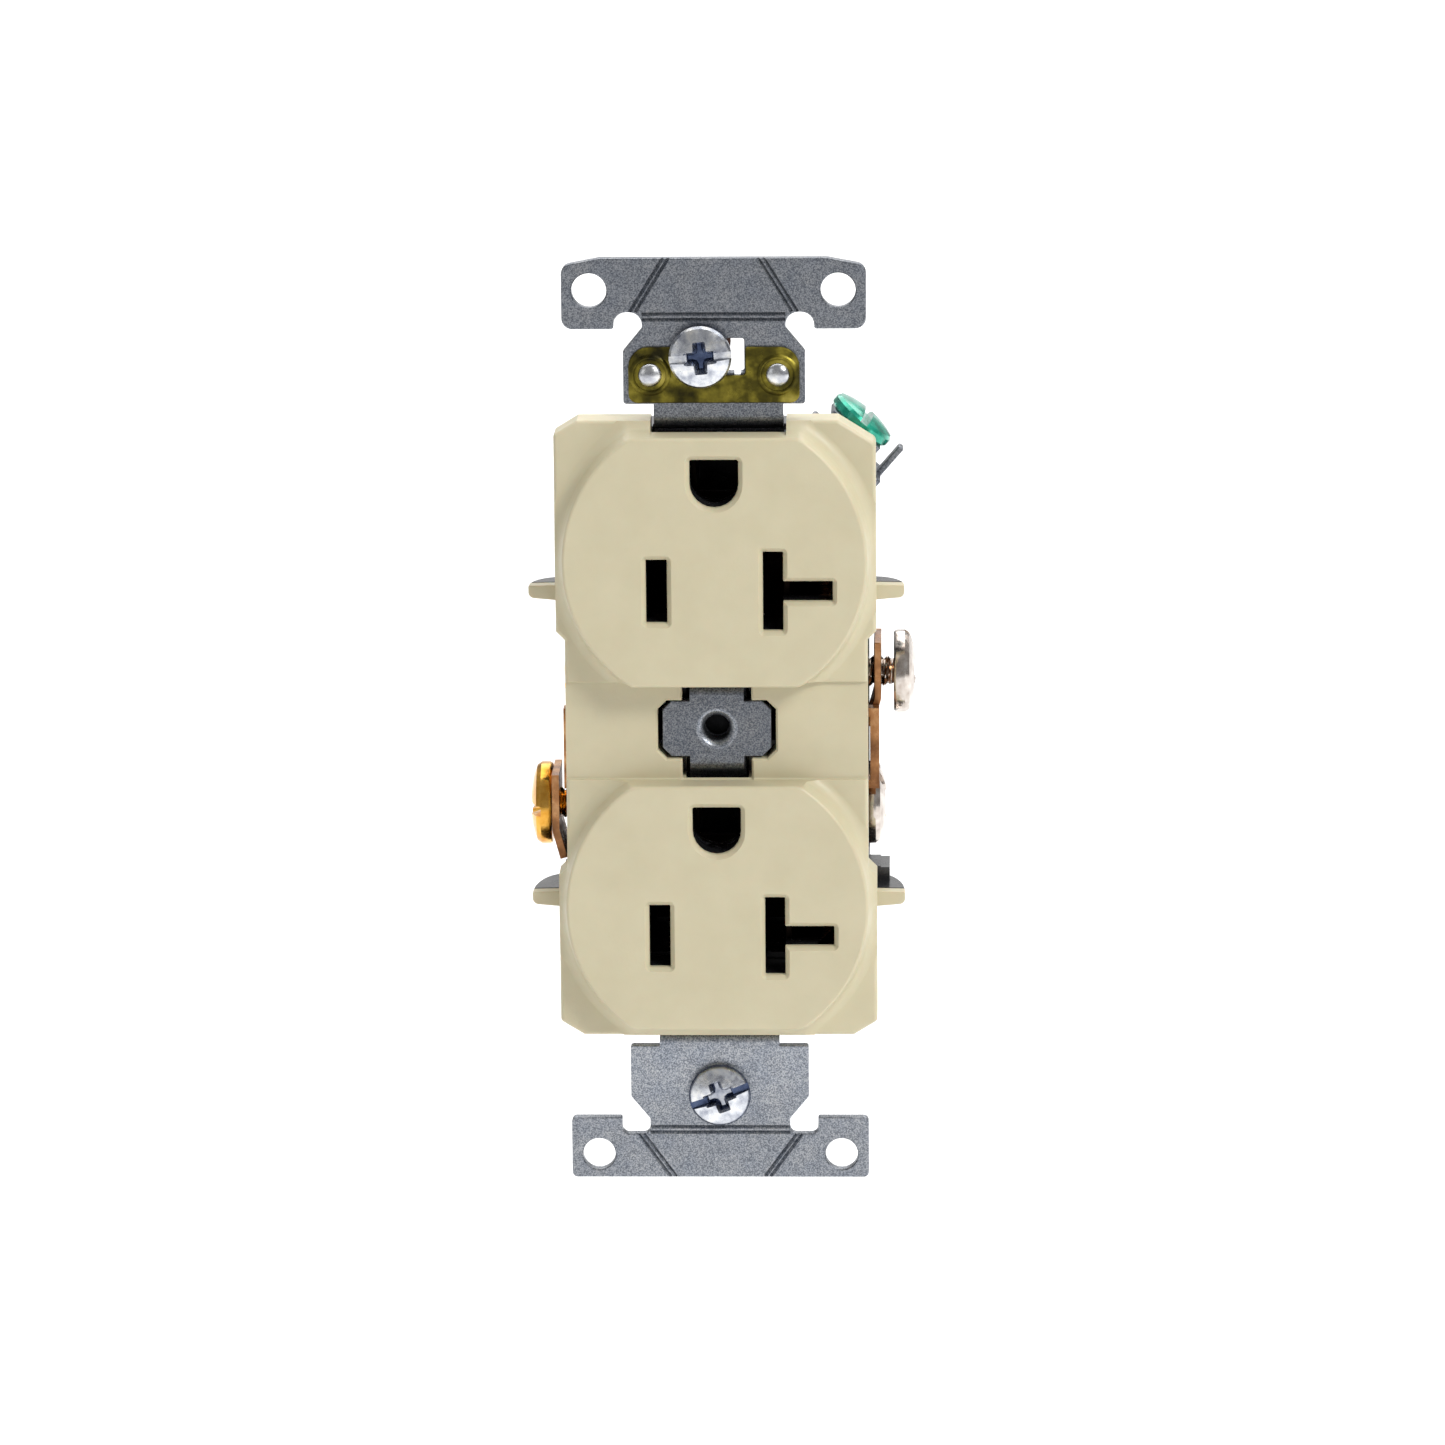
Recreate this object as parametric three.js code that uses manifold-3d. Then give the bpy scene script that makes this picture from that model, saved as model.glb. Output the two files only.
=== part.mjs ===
// Duplex wall outlet, 20 A 125 V pattern: side- and back-wired, self-grounding, on a steel mounting strap.
// Millimetres. +X is the right-hand (neutral) side, -Y is the front, +Z is up.
// The origin is the middle of the strap, on the plane of the ears' backs, which bear on the wall or box.
import * as THREE from 'three';
import { mergeVertices } from 'three/addons/utils/BufferGeometryUtils.js';
import Module from 'manifold-3d';

const wasm = await Module();
wasm.setup();

// ---------------------------------------------------------------- driving dimensions

// Outlet faces, as the standard 5-20R pattern sets them out
const FACE_PITCH = 38.8;
const FACE_DIAMETER = 33.3;
const FACE_FLATS = 27.7;
const FACE_FRONT = 5.5;          // face plane in front of the wall plane
const SLOT_DROP = 3.16;          // blade slots below the face centre
const BLADE_SPACING = 12.7;
const GROUND_RISE = 11.9;        // ground pin above the blade slots
const HOT_SLOT = [2.3, 7.0];
const NEUTRAL_SLOT = [2.2, 8.75];
const NEUTRAL_ARM = [6.5, 2.2];  // cross arm of the T slot, from the slot's centre line outwards
const GROUND_HOLE = 5.3;         // width; the lower half is round, the top is flat

// Front cover
const COVER_WIDTH = 35.1;
const COVER_SHOULDER = 2.3;      // corner areas in front of the wall plane
const COVER_BAND_DROP = 0.4;     // the band between the faces lies lower than the corners
const COVER_END = 1.4;           // from a face's flat edge to the end of the cover
const COVER_SKIRT = 1.8;         // rear edge of the cover behind the wall plane
const WAIST_STEP = 0.95;         // each side steps in beside the terminals
const WAIST = [-16.3, 11.1];     // lower and upper end of that step
const CORNER = [2.6, 1.6];       // corner chamfer, across and along
const GROUND_CORNER = [4.1, 2.6];// larger chamfer beside the ground screw
const FIN_REACH = 3.1;           // side fins beyond the cover's sides
const FIN_THICKNESS = 1.9;
const COVER_NOTCH = { front: 1.35, back: 2.4 };  // in the cover's ends, for the strap's necks
const RIM = { width: 0.8, rise: 0.8 };           // low step round each face
const FIN_TIP = [-0.55, 0.85];    // the fin's lower and upper edge at its tip
const FIN_FRONT = 0.2;           // front of the fins behind the wall plane
const FIN_Z = { upper: 14.95, lower: -19.75 };
const FIN_BACK = { upper: 4.6, lower: 8.3 };

// Black insert behind each face, which carries the slots further in
const FACE_THICKNESS = 1.0;
const INSERT_DIAMETER = 27.4;
const INSERT_FLATS = 23.2;
const INSERT_BACK = 1.6;
const INSERT_GAP = 0.15;         // round the insert, in the cover's recess
const TONGUE = { front: -1.7, length: 1.8, inset: 0.3 };  // of the upper insert, over the strap's neck

// Back body
const BODY_DEPTH = 24.7;         // back of the body behind the wall plane
const BODY_STEP = 8.2;           // behind this depth the body is shorter, clear of the mounting screws
const BODY_INSET = 0.25;         // body sides inside the cover's sides
const BODY_END_INSET = 1.45;     // ends of the body inside the cover's ends
const BODY_END_STEP = 4.2;
const HOUSING = { half: 4.3, corner: 1.2 };     // of the upper ground contact
const STEPS = [{ out: 1.35, rise: 1.5 }, { out: 0.35, rise: 2.3 }];  // blocks above the lower fin
const POCKET_DEPTH = 14.2;       // terminal pockets, from the seam backwards
const SEAM_GAP = 0.2;

// Steel strap
const STRAP_THICKNESS = 1.27;
const END_MARGIN = 7.0;          // mounting screw beyond the end of the cover
const EAR_WIDTH = 33.1;
const EAR = {
  upper: {
    edge: 10.65, inner: 2.85, hole: 7.1, holeDiameter: 3.8, shoulder: 5.4, neck: [-6.6, 7.5], bend: 7.25,
    crown: 0.8, round: 1.1, notch: 1.4,
  },
  lower: {
    edge: 9.75, inner: 2.8, hole: 7.05, holeDiameter: 3.6, shoulder: 5.5, neck: [-6.65, 6.65], bend: 6.35,
    crown: 0, round: 0.6, notch: 0.9,
  },
};
const BEND_DROP = 0.9;           // the necks drop this far while they bend back
const NECK_CLEARANCE = 0.35;
const EAR_HOLE_SPACING = 27.04;
const SHOULDER_WIDTH = 19.8;
const WAIST_WIDTH = 15.6;        // strap width on the score line between the relief notches
const NOTCH_WIDTH = 3.1;
const SCORE_Z = 4.2;
const SLOT_SIZE = [6.6, 3.7];    // upper mounting slot
const PAD_SIZE = [12.0, 6.3];    // centre pad that takes the wall plate's screw
const PAD_NECK = 5.94;
const PAD_BEND = 4.0;            // where the pad's necks bend back
const RUN_NARROW = 6.4;          // strap between the blade contacts
const PLATE_SCREW_HOLE = 2.8;
const CLIP_RIVET = { x: 6.95, drop: 2.1, head: 1.3, shank: 0.85, rise: 0.6 };
const GROUND_RIVET = { drop: 2.55, head: 1.55, shank: 1.05, rise: 0.45 };
const RIVET_CLEARANCE = 0.1;

// Screws
const PITCH_GAP = 0.05;          // gap left between screws and the parts they bear on
const CONTACT_GAP = 0.02;        // gap left between riveted parts
const TERMINAL = { head: 9.2, rise: 2.45, shank: 3.1, length: 9.0 };
const GROUND = { head: 7.66, rise: 1.9, shank: 3.1, length: 8.2 };
const MOUNTING = { head: 6.86, rise: 1.75, shank: 3.1, length: 21.0 };
const ASSEMBLY = { head: 4.0, rise: 1.4, shank: 2.5, length: 22.6 };
const TERMINAL_SPACING = 15.0;
const TERMINAL_Y = 8.4;
const SIDE_PLATE = 3.7;          // terminal plate's face inside the waist's side
const BACKED_OUT = {             // how far each terminal screw stands out from fully in
  neutral_upper: 4.73, neutral_lower: 1.47, hot_upper: 0.1, hot_lower: 3.97,
};
const CLAMP_SLACK = { neutral_upper: 1.35, neutral_lower: 0, hot_upper: 0, hot_lower: 0 };
const UPPER_SCREW_OFFSET = -1.45;// the upper mounting screw sits to one side of its slot
const RETAINER = { front: 7.0, thickness: 0.8, radius: 3.05 };
const ASSEMBLY_INSET = 2.75;     // assembly screws inside the cover's sides
const ASSEMBLY_OUT = 4.6;        // and outside the face centres
const GROUND_TURN = 49;          // the ground screw points up and out, degrees above horizontal
const GROUND_HEAD = [-1.35, -1.45];  // its head's centre from the cover's corner
const GROUND_Y = 7.0;
const GROUND_BACKED_OUT = 1.65;

// Sheet parts
const CLAMP = { thickness: 0.8, width: 7.6, top: 4.0, bend: 2.3, wing: 3.3, angle: 15 };
const BUS_THICKNESS = 1.0;
const LEAF_THICKNESS = 0.6;
const LEAF_GAP = 2.3;            // between the two leaves that grip a blade
const LEAF_WIDTH = 6.6;
const GROUND_GRIP = 0.45;        // the leaves beside a ground pin stand this far inside its hole's sides
const CLIP = { thickness: 0.45, half: 9.3, low: 5.2, high: 0.95, notch: [-3.5, 3.4], floor: 2.15 };
const WIRE_HOLE = { radius: 1.3, offset: 3.1, out: 1.5 };
const CLEARANCE = 0.25;
const RUNNING_GAP = 0.2;         // round a screw's shank

// ---------------------------------------------------------------- places worked out from them

const faceZ = FACE_PITCH / 2;
const coverHalfWidth = COVER_WIDTH / 2;
const coverHalfLength = faceZ + FACE_FLATS / 2 + COVER_END;
const waistHalf = coverHalfWidth - WAIST_STEP;
const screwZ = coverHalfLength + END_MARGIN;
const bodyFront = COVER_SKIRT + SEAM_GAP;
const runBack = bodyFront + STRAP_THICKNESS;
const bodyHalfWidth = coverHalfWidth - BODY_INSET;
const bodyHalfLength = coverHalfLength - BODY_END_INSET;
const bodyRearHalfLength = bodyHalfLength - BODY_END_STEP;
const jog = bodyFront + STRAP_THICKNESS;          // how far the strap's run lies behind its ears
const neckBend = [screwZ - EAR.upper.bend, EAR.lower.bend - screwZ];
const padFaceX = waistHalf - SIDE_PLATE;
const terminalZ = [-SLOT_DROP + TERMINAL_SPACING / 2, -SLOT_DROP - TERMINAL_SPACING / 2];
const slotZ = [faceZ - SLOT_DROP, -faceZ - SLOT_DROP];
const groundZ = slotZ.map((z) => z + GROUND_RISE);
const busBack = POCKET_DEPTH + 2.4;
const assemblyX = coverHalfWidth - ASSEMBLY_INSET;
const assemblyZ = [faceZ + ASSEMBLY_OUT, -faceZ - ASSEMBLY_OUT];
const groundLeaf = GROUND_HOLE / 2 - GROUND_GRIP;
const contactRoom = GROUND_HOLE / 2 + GROUND_GRIP;
const contactHole = GROUND_HOLE / 2 + 0.65;       // clear of the pin, in the strap and the contact
const clipRivetZ = screwZ - CLIP_RIVET.drop;
const groundRivetZ = groundZ.map((z) => z - GROUND_HOLE / 2 - GROUND_RIVET.drop);
const clampDrop = CLAMP.wing * Math.tan(THREE.MathUtils.degToRad(CLAMP.angle));
const clampSeat = padFaceX + PITCH_GAP + clampDrop;
const CIRCLE_SIDES = 20;

// ---------------------------------------------------------------- outlines

// A closed outline through corners [x, y, radius]; each corner with a radius becomes an arc.
function outline(corners, sides = 3) {
  const points = [];
  corners.forEach(([x, y, radius = 0], i) => {
    const corner = new THREE.Vector2(x, y);
    if (!radius) {
      points.push(corner);
      return;
    }
    const before = new THREE.Vector2(...corners.at(i - 1).slice(0, 2)).sub(corner).normalize();
    const after = new THREE.Vector2(...corners[(i + 1) % corners.length].slice(0, 2)).sub(corner).normalize();
    const half = Math.acos(THREE.MathUtils.clamp(before.dot(after), -1, 1)) / 2;
    const middle = before.clone().add(after).normalize().multiplyScalar(radius / Math.sin(half)).add(corner);
    const start = before.multiplyScalar(radius / Math.tan(half)).add(corner).sub(middle);
    const end = after.multiplyScalar(radius / Math.tan(half)).add(corner).sub(middle);
    const sweep = Math.atan2(start.cross(end), start.dot(end));
    for (let k = 0; k <= sides; k += 1) {
      points.push(start.clone().rotateAround(new THREE.Vector2(), (sweep * k) / sides).add(middle));
    }
  });
  return new THREE.Shape(points);
}

function rectangle(x0, x1, y0, y1, radius = 0) {
  return outline([[x0, y0, radius], [x1, y0, radius], [x1, y1, radius], [x0, y1, radius]]);
}

function circle(radius, x = 0, y = 0, sides = CIRCLE_SIDES) {
  const points = Array.from({ length: sides }, (_, k) => {
    const angle = (2 * Math.PI * k) / sides;
    return new THREE.Vector2(x + radius * Math.cos(angle), y + radius * Math.sin(angle));
  });
  return new THREE.Shape(points);
}

// The band of a given thickness round a line through [x, y] points, with mitred bends.
function ribbon(points, thickness) {
  const line = points.map(([x, y]) => new THREE.Vector2(x, y));
  const side = (sign) => line.map((point, i) => {
    const into = point.clone().sub(line[Math.max(i - 1, 0)]);
    const out = line[Math.min(i + 1, line.length - 1)].clone().sub(point);
    const before = (i ? into : out).clone().normalize();
    const after = (i < line.length - 1 ? out : into).clone().normalize();
    const normal = new THREE.Vector2(-before.y - after.y, before.x + after.x).normalize();
    const reach = (sign * thickness) / 2 / (normal.x * -after.y + normal.y * after.x);
    return point.clone().add(normal.multiplyScalar(reach));
  });
  return new THREE.Shape([...side(-1), ...side(1).reverse()]);
}

// ---------------------------------------------------------------- solids

// A solid for joining and cutting, from a closed geometry.
function solid(geometry) {
  geometry.deleteAttribute('normal');
  geometry.deleteAttribute('uv');
  const merged = mergeVertices(geometry, 1e-5);
  return new wasm.Manifold(new wasm.Mesh({
    numProp: 3,
    vertProperties: new Float32Array(merged.attributes.position.array),
    triVerts: new Uint32Array(merged.index.array),
  }));
}

function geometryOf(body) {
  const mesh = body.getMesh();
  const geometry = new THREE.BufferGeometry();
  geometry.setAttribute('position', new THREE.BufferAttribute(new Float32Array(mesh.vertProperties), 3));
  geometry.setIndex(new THREE.BufferAttribute(new Uint32Array(mesh.triVerts), 1));
  geometry.computeVertexNormals();
  return geometry;
}

// An outline extruded along an axis between two heights. Outlines are drawn in (x, z) for an
// extrusion along y, in (y, z) along x, and in (x, y) along z.
const EXTRUDE_BASIS = {
  x: [[0, 1, 0], [0, 0, 1], [1, 0, 0]],
  y: [[1, 0, 0], [0, 0, 1], [0, -1, 0]],
  z: [[1, 0, 0], [0, 1, 0], [0, 0, 1]],
};

function prism(shape, axis, low, high) {
  const geometry = new THREE.ExtrudeGeometry(shape, { depth: high - low, bevelEnabled: false });
  const [u, v, w] = EXTRUDE_BASIS[axis].map((direction) => new THREE.Vector3(...direction));
  const start = w.clone().multiplyScalar(axis === 'y' ? -high : low);
  geometry.applyMatrix4(new THREE.Matrix4().makeBasis(u, v, w).setPosition(start));
  return solid(geometry);
}

function box([x0, x1], [y0, y1], [z0, z1]) {
  return prism(rectangle(x0, x1, z0, z1), 'y', y0, y1);
}

function join(solids) {
  return solids.reduce((whole, next) => whole.add(next));
}

function cut(whole, tools) {
  return tools.reduce((left, tool) => left.subtract(tool), whole);
}

// The same box or list of boxes for both sides: +1 is the neutral side, -1 the hot side.
function sideRange(side, low, high) {
  return side > 0 ? [low, high] : [-high, -low];
}

const group = new THREE.Group();

function addPart(name, geometry, color, roughness, metalness, parent = group) {
  const material = new THREE.MeshStandardMaterial({ color, roughness, metalness, flatShading: true });
  const mesh = new THREE.Mesh(geometry, material);
  mesh.name = name;
  parent.add(mesh);
  return mesh;
}

const FINISH = {
  ivory: [0xd0c6a4, 0.45, 0.0],
  black: [0x18181a, 0.3, 0.0],
  zinc: [0x8f959e, 0.4, 0.9],
  brass: [0xb08a35, 0.35, 0.9],
  clipBrass: [0x8d8030, 0.4, 0.8],
  nickel: [0xa9a49c, 0.25, 0.95],
  green: [0x1f9a78, 0.35, 0.5],
  steel: [0xb5b7ba, 0.35, 0.95],
  fibre: [0x8c4a34, 0.8, 0.0],
};

// ---------------------------------------------------------------- steel strap

// The angled ground terminal has its own axes: a runs along the tab, b is +Y, c points out of it.
const groundTurn = THREE.MathUtils.degToRad(GROUND_TURN);
const groundOut = new THREE.Vector3(Math.cos(groundTurn), 0, Math.sin(groundTurn));
const groundAlong = new THREE.Vector3(Math.sin(groundTurn), 0, -Math.cos(groundTurn));
const groundCentre = new THREE.Vector3(
  coverHalfWidth + GROUND_HEAD[0], GROUND_Y, coverHalfLength + GROUND_HEAD[1],
);
const groundFrame = new THREE.Matrix4()
  .makeBasis(groundAlong, new THREE.Vector3(0, 1, 0), groundOut)
  .setPosition(groundCentre);
// Heights along c, from the middle of the screw's head
const tabFace = -GROUND.rise / 2 - GROUND_BACKED_OUT - CLAMP.thickness - 2 * PITCH_GAP;
const tabBack = tabFace - STRAP_THICKNESS;
const groundTip = -GROUND.rise / 2 - GROUND.length - GROUND_BACKED_OUT;
const TAB = { low: -4.2, high: 5.55, half: 4.2 };
const LIP = { thickness: 0.65, rise: 3.8, half: 1.0 };   // stop at the tab's end

function inGroundFrame(shape, low, high) {
  const geometry = new THREE.ExtrudeGeometry(shape, { depth: high - low, bevelEnabled: false });
  geometry.translate(0, 0, low);
  geometry.applyMatrix4(groundFrame);
  return solid(geometry);
}

// A point of the ground tab, in (x, z)
function groundPoint(a, c) {
  const point = new THREE.Vector3(a, 0, c).applyMatrix4(groundFrame);
  return [point.x, point.z];
}

// Front view of the strap's bent run between the two ends, grown by a clearance for the body's channel
function runOutline(grow = 0) {
  const narrow = RUN_NARROW / 2 + grow;
  const top = EAR.upper.neck;
  const bottom = EAR.lower.neck;
  const end = screwZ - EAR.upper.shoulder + 0.4;
  const upperStep = slotZ[0] + NEUTRAL_SLOT[1] / 2 + 0.5 - grow;
  const padStep = -PAD_BEND - jog - 0.6 + grow;
  const lowerStep = slotZ[1] + NEUTRAL_SLOT[1] / 2 + 0.5 - grow;
  const lastStep = slotZ[1] - NEUTRAL_SLOT[1] / 2 - 1.2 + grow;
  return outline([
    [top[1] + grow, end], [top[0] - grow, end], [top[0] - grow, upperStep], [-narrow, upperStep],
    [-narrow, padStep], [bottom[0] - grow, padStep], [bottom[0] - grow, lowerStep], [-narrow, lowerStep],
    [-narrow, lastStep], [bottom[0] - grow, lastStep], [bottom[0] - grow, -end], [bottom[1] + grow, -end],
    [bottom[1] + grow, lastStep], [narrow, lastStep], [narrow, lowerStep], [bottom[1] + grow, lowerStep],
    [bottom[1] + grow, padStep], [narrow, padStep], [narrow, upperStep], [top[1] + grow, upperStep],
  ]);
}

// The wing of the run that carries the ground tab
function wingOutline(grow = 0) {
  const inner = tabFace - 0.3;
  const low = groundZ[0] - 3.2 - grow;
  const end = TAB.high - 1.0 + grow;
  return outline([
    [EAR.upper.neck[1] - 1, low], [assemblyX - 3.4, low],
    [assemblyX - 2.4 - grow, assemblyZ[0] + 2.0 - grow],
    groundPoint(end, inner - 2.2 - grow), groundPoint(end, inner + grow),
    groundPoint(TAB.low - grow, inner + grow), [EAR.upper.neck[1] - 1, bodyHalfLength - 0.8 + grow],
  ]);
}

// Ear plate of one end, from the shoulder line outwards; up is +1 or -1
function earPlate(ear, up) {
  const half = EAR_WIDTH / 2;
  const at = (z) => up * (screwZ + z);
  const shoulder = SHOULDER_WIDTH / 2;
  const waist = WAIST_WIDTH / 2;
  const right = [
    [half - 4.2, at(ear.edge)],
    [half, at(ear.edge - ear.crown), ear.round], [half, at(ear.inner), ear.round],
    [waist, at(ear.inner + 0.1)], [shoulder, at(0.4), 0.4], [shoulder, at(-ear.shoulder), 0.3],
  ];
  const left = right.map(([x, z, radius]) => [-x, z, radius]).reverse();
  const plate = prism(outline([...right, ...left]), 'y', -STRAP_THICKNESS, 0);
  const through = [-STRAP_THICKNESS - 1, 1];
  const tools = [];
  for (const side of [-1, 1]) {
    const hole = circle(ear.holeDiameter / 2, side * EAR_HOLE_SPACING / 2, at(ear.hole));
    const far = waist + NOTCH_WIDTH;
    const notch = outline([
      [side * waist, at(ear.inner + 0.1)], [side * far, at(ear.inner - 0.1)],
      [side * far, at(SCORE_Z + 0.5), ear.notch], [side * waist, at(SCORE_Z + 0.5), ear.notch],
    ]);
    tools.push(prism(hole, 'y', ...through), prism(notch, 'y', ...through));
  }
  return cut(plate, [...tools, ...scoreLines(ear, up)]);
}

// Two thin parallel grooves across the waist and two on each slanted break line
function scoreLines(ear, up) {
  const groove = { width: 0.28, depth: 0.22, spacing: 0.62 };
  const lines = [[[-WAIST_WIDTH / 2 - 0.2, SCORE_Z], [WAIST_WIDTH / 2 + 0.2, SCORE_Z]]];
  for (const side of [-1, 1]) {
    lines.push([[side * (WAIST_WIDTH / 2 + 0.9), SCORE_Z + 0.5], [side * 5.1, ear.edge + 0.3]]);
  }
  const tools = [];
  for (const [[x0, z0], [x1, z1]] of lines) {
    const length = Math.hypot(x1 - x0, z1 - z0);
    for (const shift of [-groove.spacing / 2, groove.spacing / 2]) {
      const bar = new THREE.BoxGeometry(length, 2 * groove.depth, groove.width);
      bar.translate(0, 0, shift);
      bar.rotateY(-Math.atan2(up * (z1 - z0), x1 - x0));
      bar.translate((x0 + x1) / 2, -STRAP_THICKNESS, up * (screwZ + (z0 + z1) / 2));
      tools.push(solid(bar));
    }
  }
  return tools;
}

function strap() {
  const middle = -STRAP_THICKNESS / 2;
  const run = middle + jog;
  const side = [
    [middle, screwZ - EAR.upper.shoulder + 0.4], [middle, neckBend[0]], [run, neckBend[0] - BEND_DROP],
    [run, PAD_BEND + jog], [middle, PAD_BEND], [middle, -PAD_BEND], [run, -PAD_BEND - jog],
    [run, neckBend[1] + BEND_DROP], [middle, neckBend[1]], [middle, -screwZ + EAR.lower.shoulder - 0.4],
  ];
  const bent = prism(ribbon(side, STRAP_THICKNESS), 'x', -EAR_WIDTH / 2, EAR_WIDTH / 2)
    .intersect(prism(runOutline(), 'y', -STRAP_THICKNESS - 1, runBack + 1));
  const [padX, padZ] = PAD_SIZE.map((size) => size / 2);
  const pad = prism(chamfered(padX, padZ, 1), 'y', -STRAP_THICKNESS, 0);
  const collar = prism(circle(PLATE_SCREW_HOLE / 2 + 0.8), 'y', -0.2, 1.3);
  const wing = prism(wingOutline(), 'y', bodyFront, runBack);
  const tabDeep = [bodyFront - GROUND_Y, TAB.half];
  const tab = inGroundFrame(rectangle(TAB.low, TAB.high, ...tabDeep, 0.4), tabBack, tabFace);
  const lipOutline = rectangle(TAB.high - LIP.thickness, TAB.high, -LIP.half, LIP.half);
  const lip = inGroundFrame(lipOutline, tabBack, tabFace + LIP.rise);
  const whole = join([earPlate(EAR.upper, 1), earPlate(EAR.lower, -1), bent, pad, collar, wing, tab, lip]);
  const front = [-STRAP_THICKNESS - 1, runBack + 1];
  const [slotX, slotHigh] = SLOT_SIZE.map((size) => size / 2);
  const tools = [
    prism(circle(PLATE_SCREW_HOLE / 2), 'y', ...front),
    prism(rectangle(-slotX, slotX, screwZ - slotHigh, screwZ + slotHigh, 0.3), 'y', ...front),
    prism(rectangle(2.2, 2.9, screwZ - slotHigh - 0.45, screwZ), 'y', ...front),
    prism(circle(MOUNTING.shank / 2 + RUNNING_GAP + 0.15, 0, -screwZ), 'y', ...front),
    inGroundFrame(circle(GROUND.shank / 2 + RUNNING_GAP), tabBack - 1, tabFace + 1),
  ];
  for (const z of groundZ) {
    tools.push(prism(circle(contactHole, 0, z), 'y', ...front));
  }
  for (const z of groundRivetZ) {
    tools.push(prism(circle(GROUND_RIVET.shank + RIVET_CLEARANCE, 0, z), 'y', ...front));
  }
  for (const x of [-CLIP_RIVET.x, CLIP_RIVET.x]) {
    tools.push(prism(circle(CLIP_RIVET.shank + RIVET_CLEARANCE, x, clipRivetZ), 'y', ...front));
  }
  return cut(whole, tools);
}

addPart('mounting_strap', geometryOf(strap()), ...FINISH.zinc);

// ---------------------------------------------------------------- self-grounding clip and its rivets

function clip() {
  const { half, thickness } = CLIP;
  const low = screwZ - CLIP.low;
  const high = screwZ + CLIP.high;
  const floor = screwZ - CLIP.floor;
  const [left, right] = CLIP.notch;
  const shape = outline([
    [-half, low, 1.0], [half, low, 1.0], [half, high, 2.2], [right, high, 0.3], [right, floor, 0.3],
    [left, floor, 0.3], [left, high, 0.3], [-half, high, 2.2],
  ]);
  const front = -STRAP_THICKNESS - thickness;
  const plate = prism(shape, 'y', front, -STRAP_THICKNESS - CONTACT_GAP);
  const holes = [-CLIP_RIVET.x, CLIP_RIVET.x].map((x) => (
    prism(circle(CLIP_RIVET.shank + RIVET_CLEARANCE, x, clipRivetZ), 'y', front - 1, 1)));
  return cut(plate, holes);
}

addPart('self_grounding_clip', geometryOf(clip()), ...FINISH.clipBrass);

// A rivet along Y: domed head in front, plain shank, flat tail behind
function rivet({ head, shank, rise }, grip) {
  const profile = [
    [0, -rise], [head * 0.6, -rise * 0.85], [head, -rise * 0.3], [head, 0], [shank, 0], [shank, grip],
    [head, grip], [head * 0.9, grip + rise * 0.7], [0, grip + rise * 0.7],
  ];
  const points = profile.map(([r, y]) => new THREE.Vector2(r, y));
  return new THREE.LatheGeometry(points, 14);
}

for (const [name, x] of [['clip_rivet_left', -CLIP_RIVET.x], ['clip_rivet_right', CLIP_RIVET.x]]) {
  const grip = STRAP_THICKNESS + CLIP.thickness + 2 * CONTACT_GAP;
  const mesh = addPart(name, rivet(CLIP_RIVET, grip), ...FINISH.steel);
  mesh.position.set(x, -STRAP_THICKNESS - CLIP.thickness - CONTACT_GAP, clipRivetZ);
}

// ---------------------------------------------------------------- screws

// A screw along +Z: the head's underside at z = 0, the shank below it, a slot and a cross in the head.
// The threads are left plain at their core diameter.
function screw({ head, rise, shank, length }, recess) {
  const r = head / 2;
  const s = shank / 2;
  const profile = [
    [0, -length], [s * 0.7, -length], [s, -length + 0.6], [s, 0], [r - 0.25, 0], [r, 0.25],
    [r, rise * 0.45], [r * 0.93, rise * 0.72], [r * 0.7, rise * 0.93], [r * 0.35, rise], [0, rise],
  ];
  const points = profile.map(([x, y]) => new THREE.Vector2(x, y));
  const lathe = new THREE.LatheGeometry(points, 20);
  lathe.rotateX(Math.PI / 2);
  const slot = { width: head * 0.13, depth: rise * 0.5 };
  const across = [-slot.width / 2, slot.width / 2];
  const tools = [box([-r, r], across, [rise - slot.depth, rise + 1])];
  if (recess) {
    tools.push(box(across, [-r * 0.5, r * 0.5], [rise - slot.depth * 1.3, rise + 1]));
  }
  return geometryOf(cut(solid(lathe), tools));
}

// Places an assembly built along +Z so that +Z points along a direction, turned about it
function aim(object, direction, position, turn = 0) {
  const out = new THREE.Vector3(...direction).normalize();
  object.quaternion.setFromUnitVectors(new THREE.Vector3(0, 0, 1), out);
  object.rotateZ(turn);
  object.position.set(...position);
  group.add(object);
}

// Pressure plate: flat round the screw, its lower wing bent in towards the terminal plate.
// It is drawn on the neutral side, in (x, z) from the screw's axis and the plate's inner face.
function clampPlate() {
  const angle = THREE.MathUtils.degToRad(CLAMP.angle);
  const middle = CLAMP.thickness / 2;
  const line = [
    [middle, CLAMP.top], [middle, -CLAMP.bend],
    [middle - CLAMP.wing * Math.sin(angle), -CLAMP.bend - CLAMP.wing * Math.cos(angle)],
  ];
  const half = CLAMP.width / 2;
  const hole = prism(circle(TERMINAL.shank / 2 + RUNNING_GAP), 'x', -2, 2);
  return cut(prism(ribbon(line, CLAMP.thickness), 'y', -half, half), [hole]);
}

const SLOT_TURN = { neutral_upper: 0, neutral_lower: 35, hot_upper: 70, hot_lower: 90 };

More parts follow.
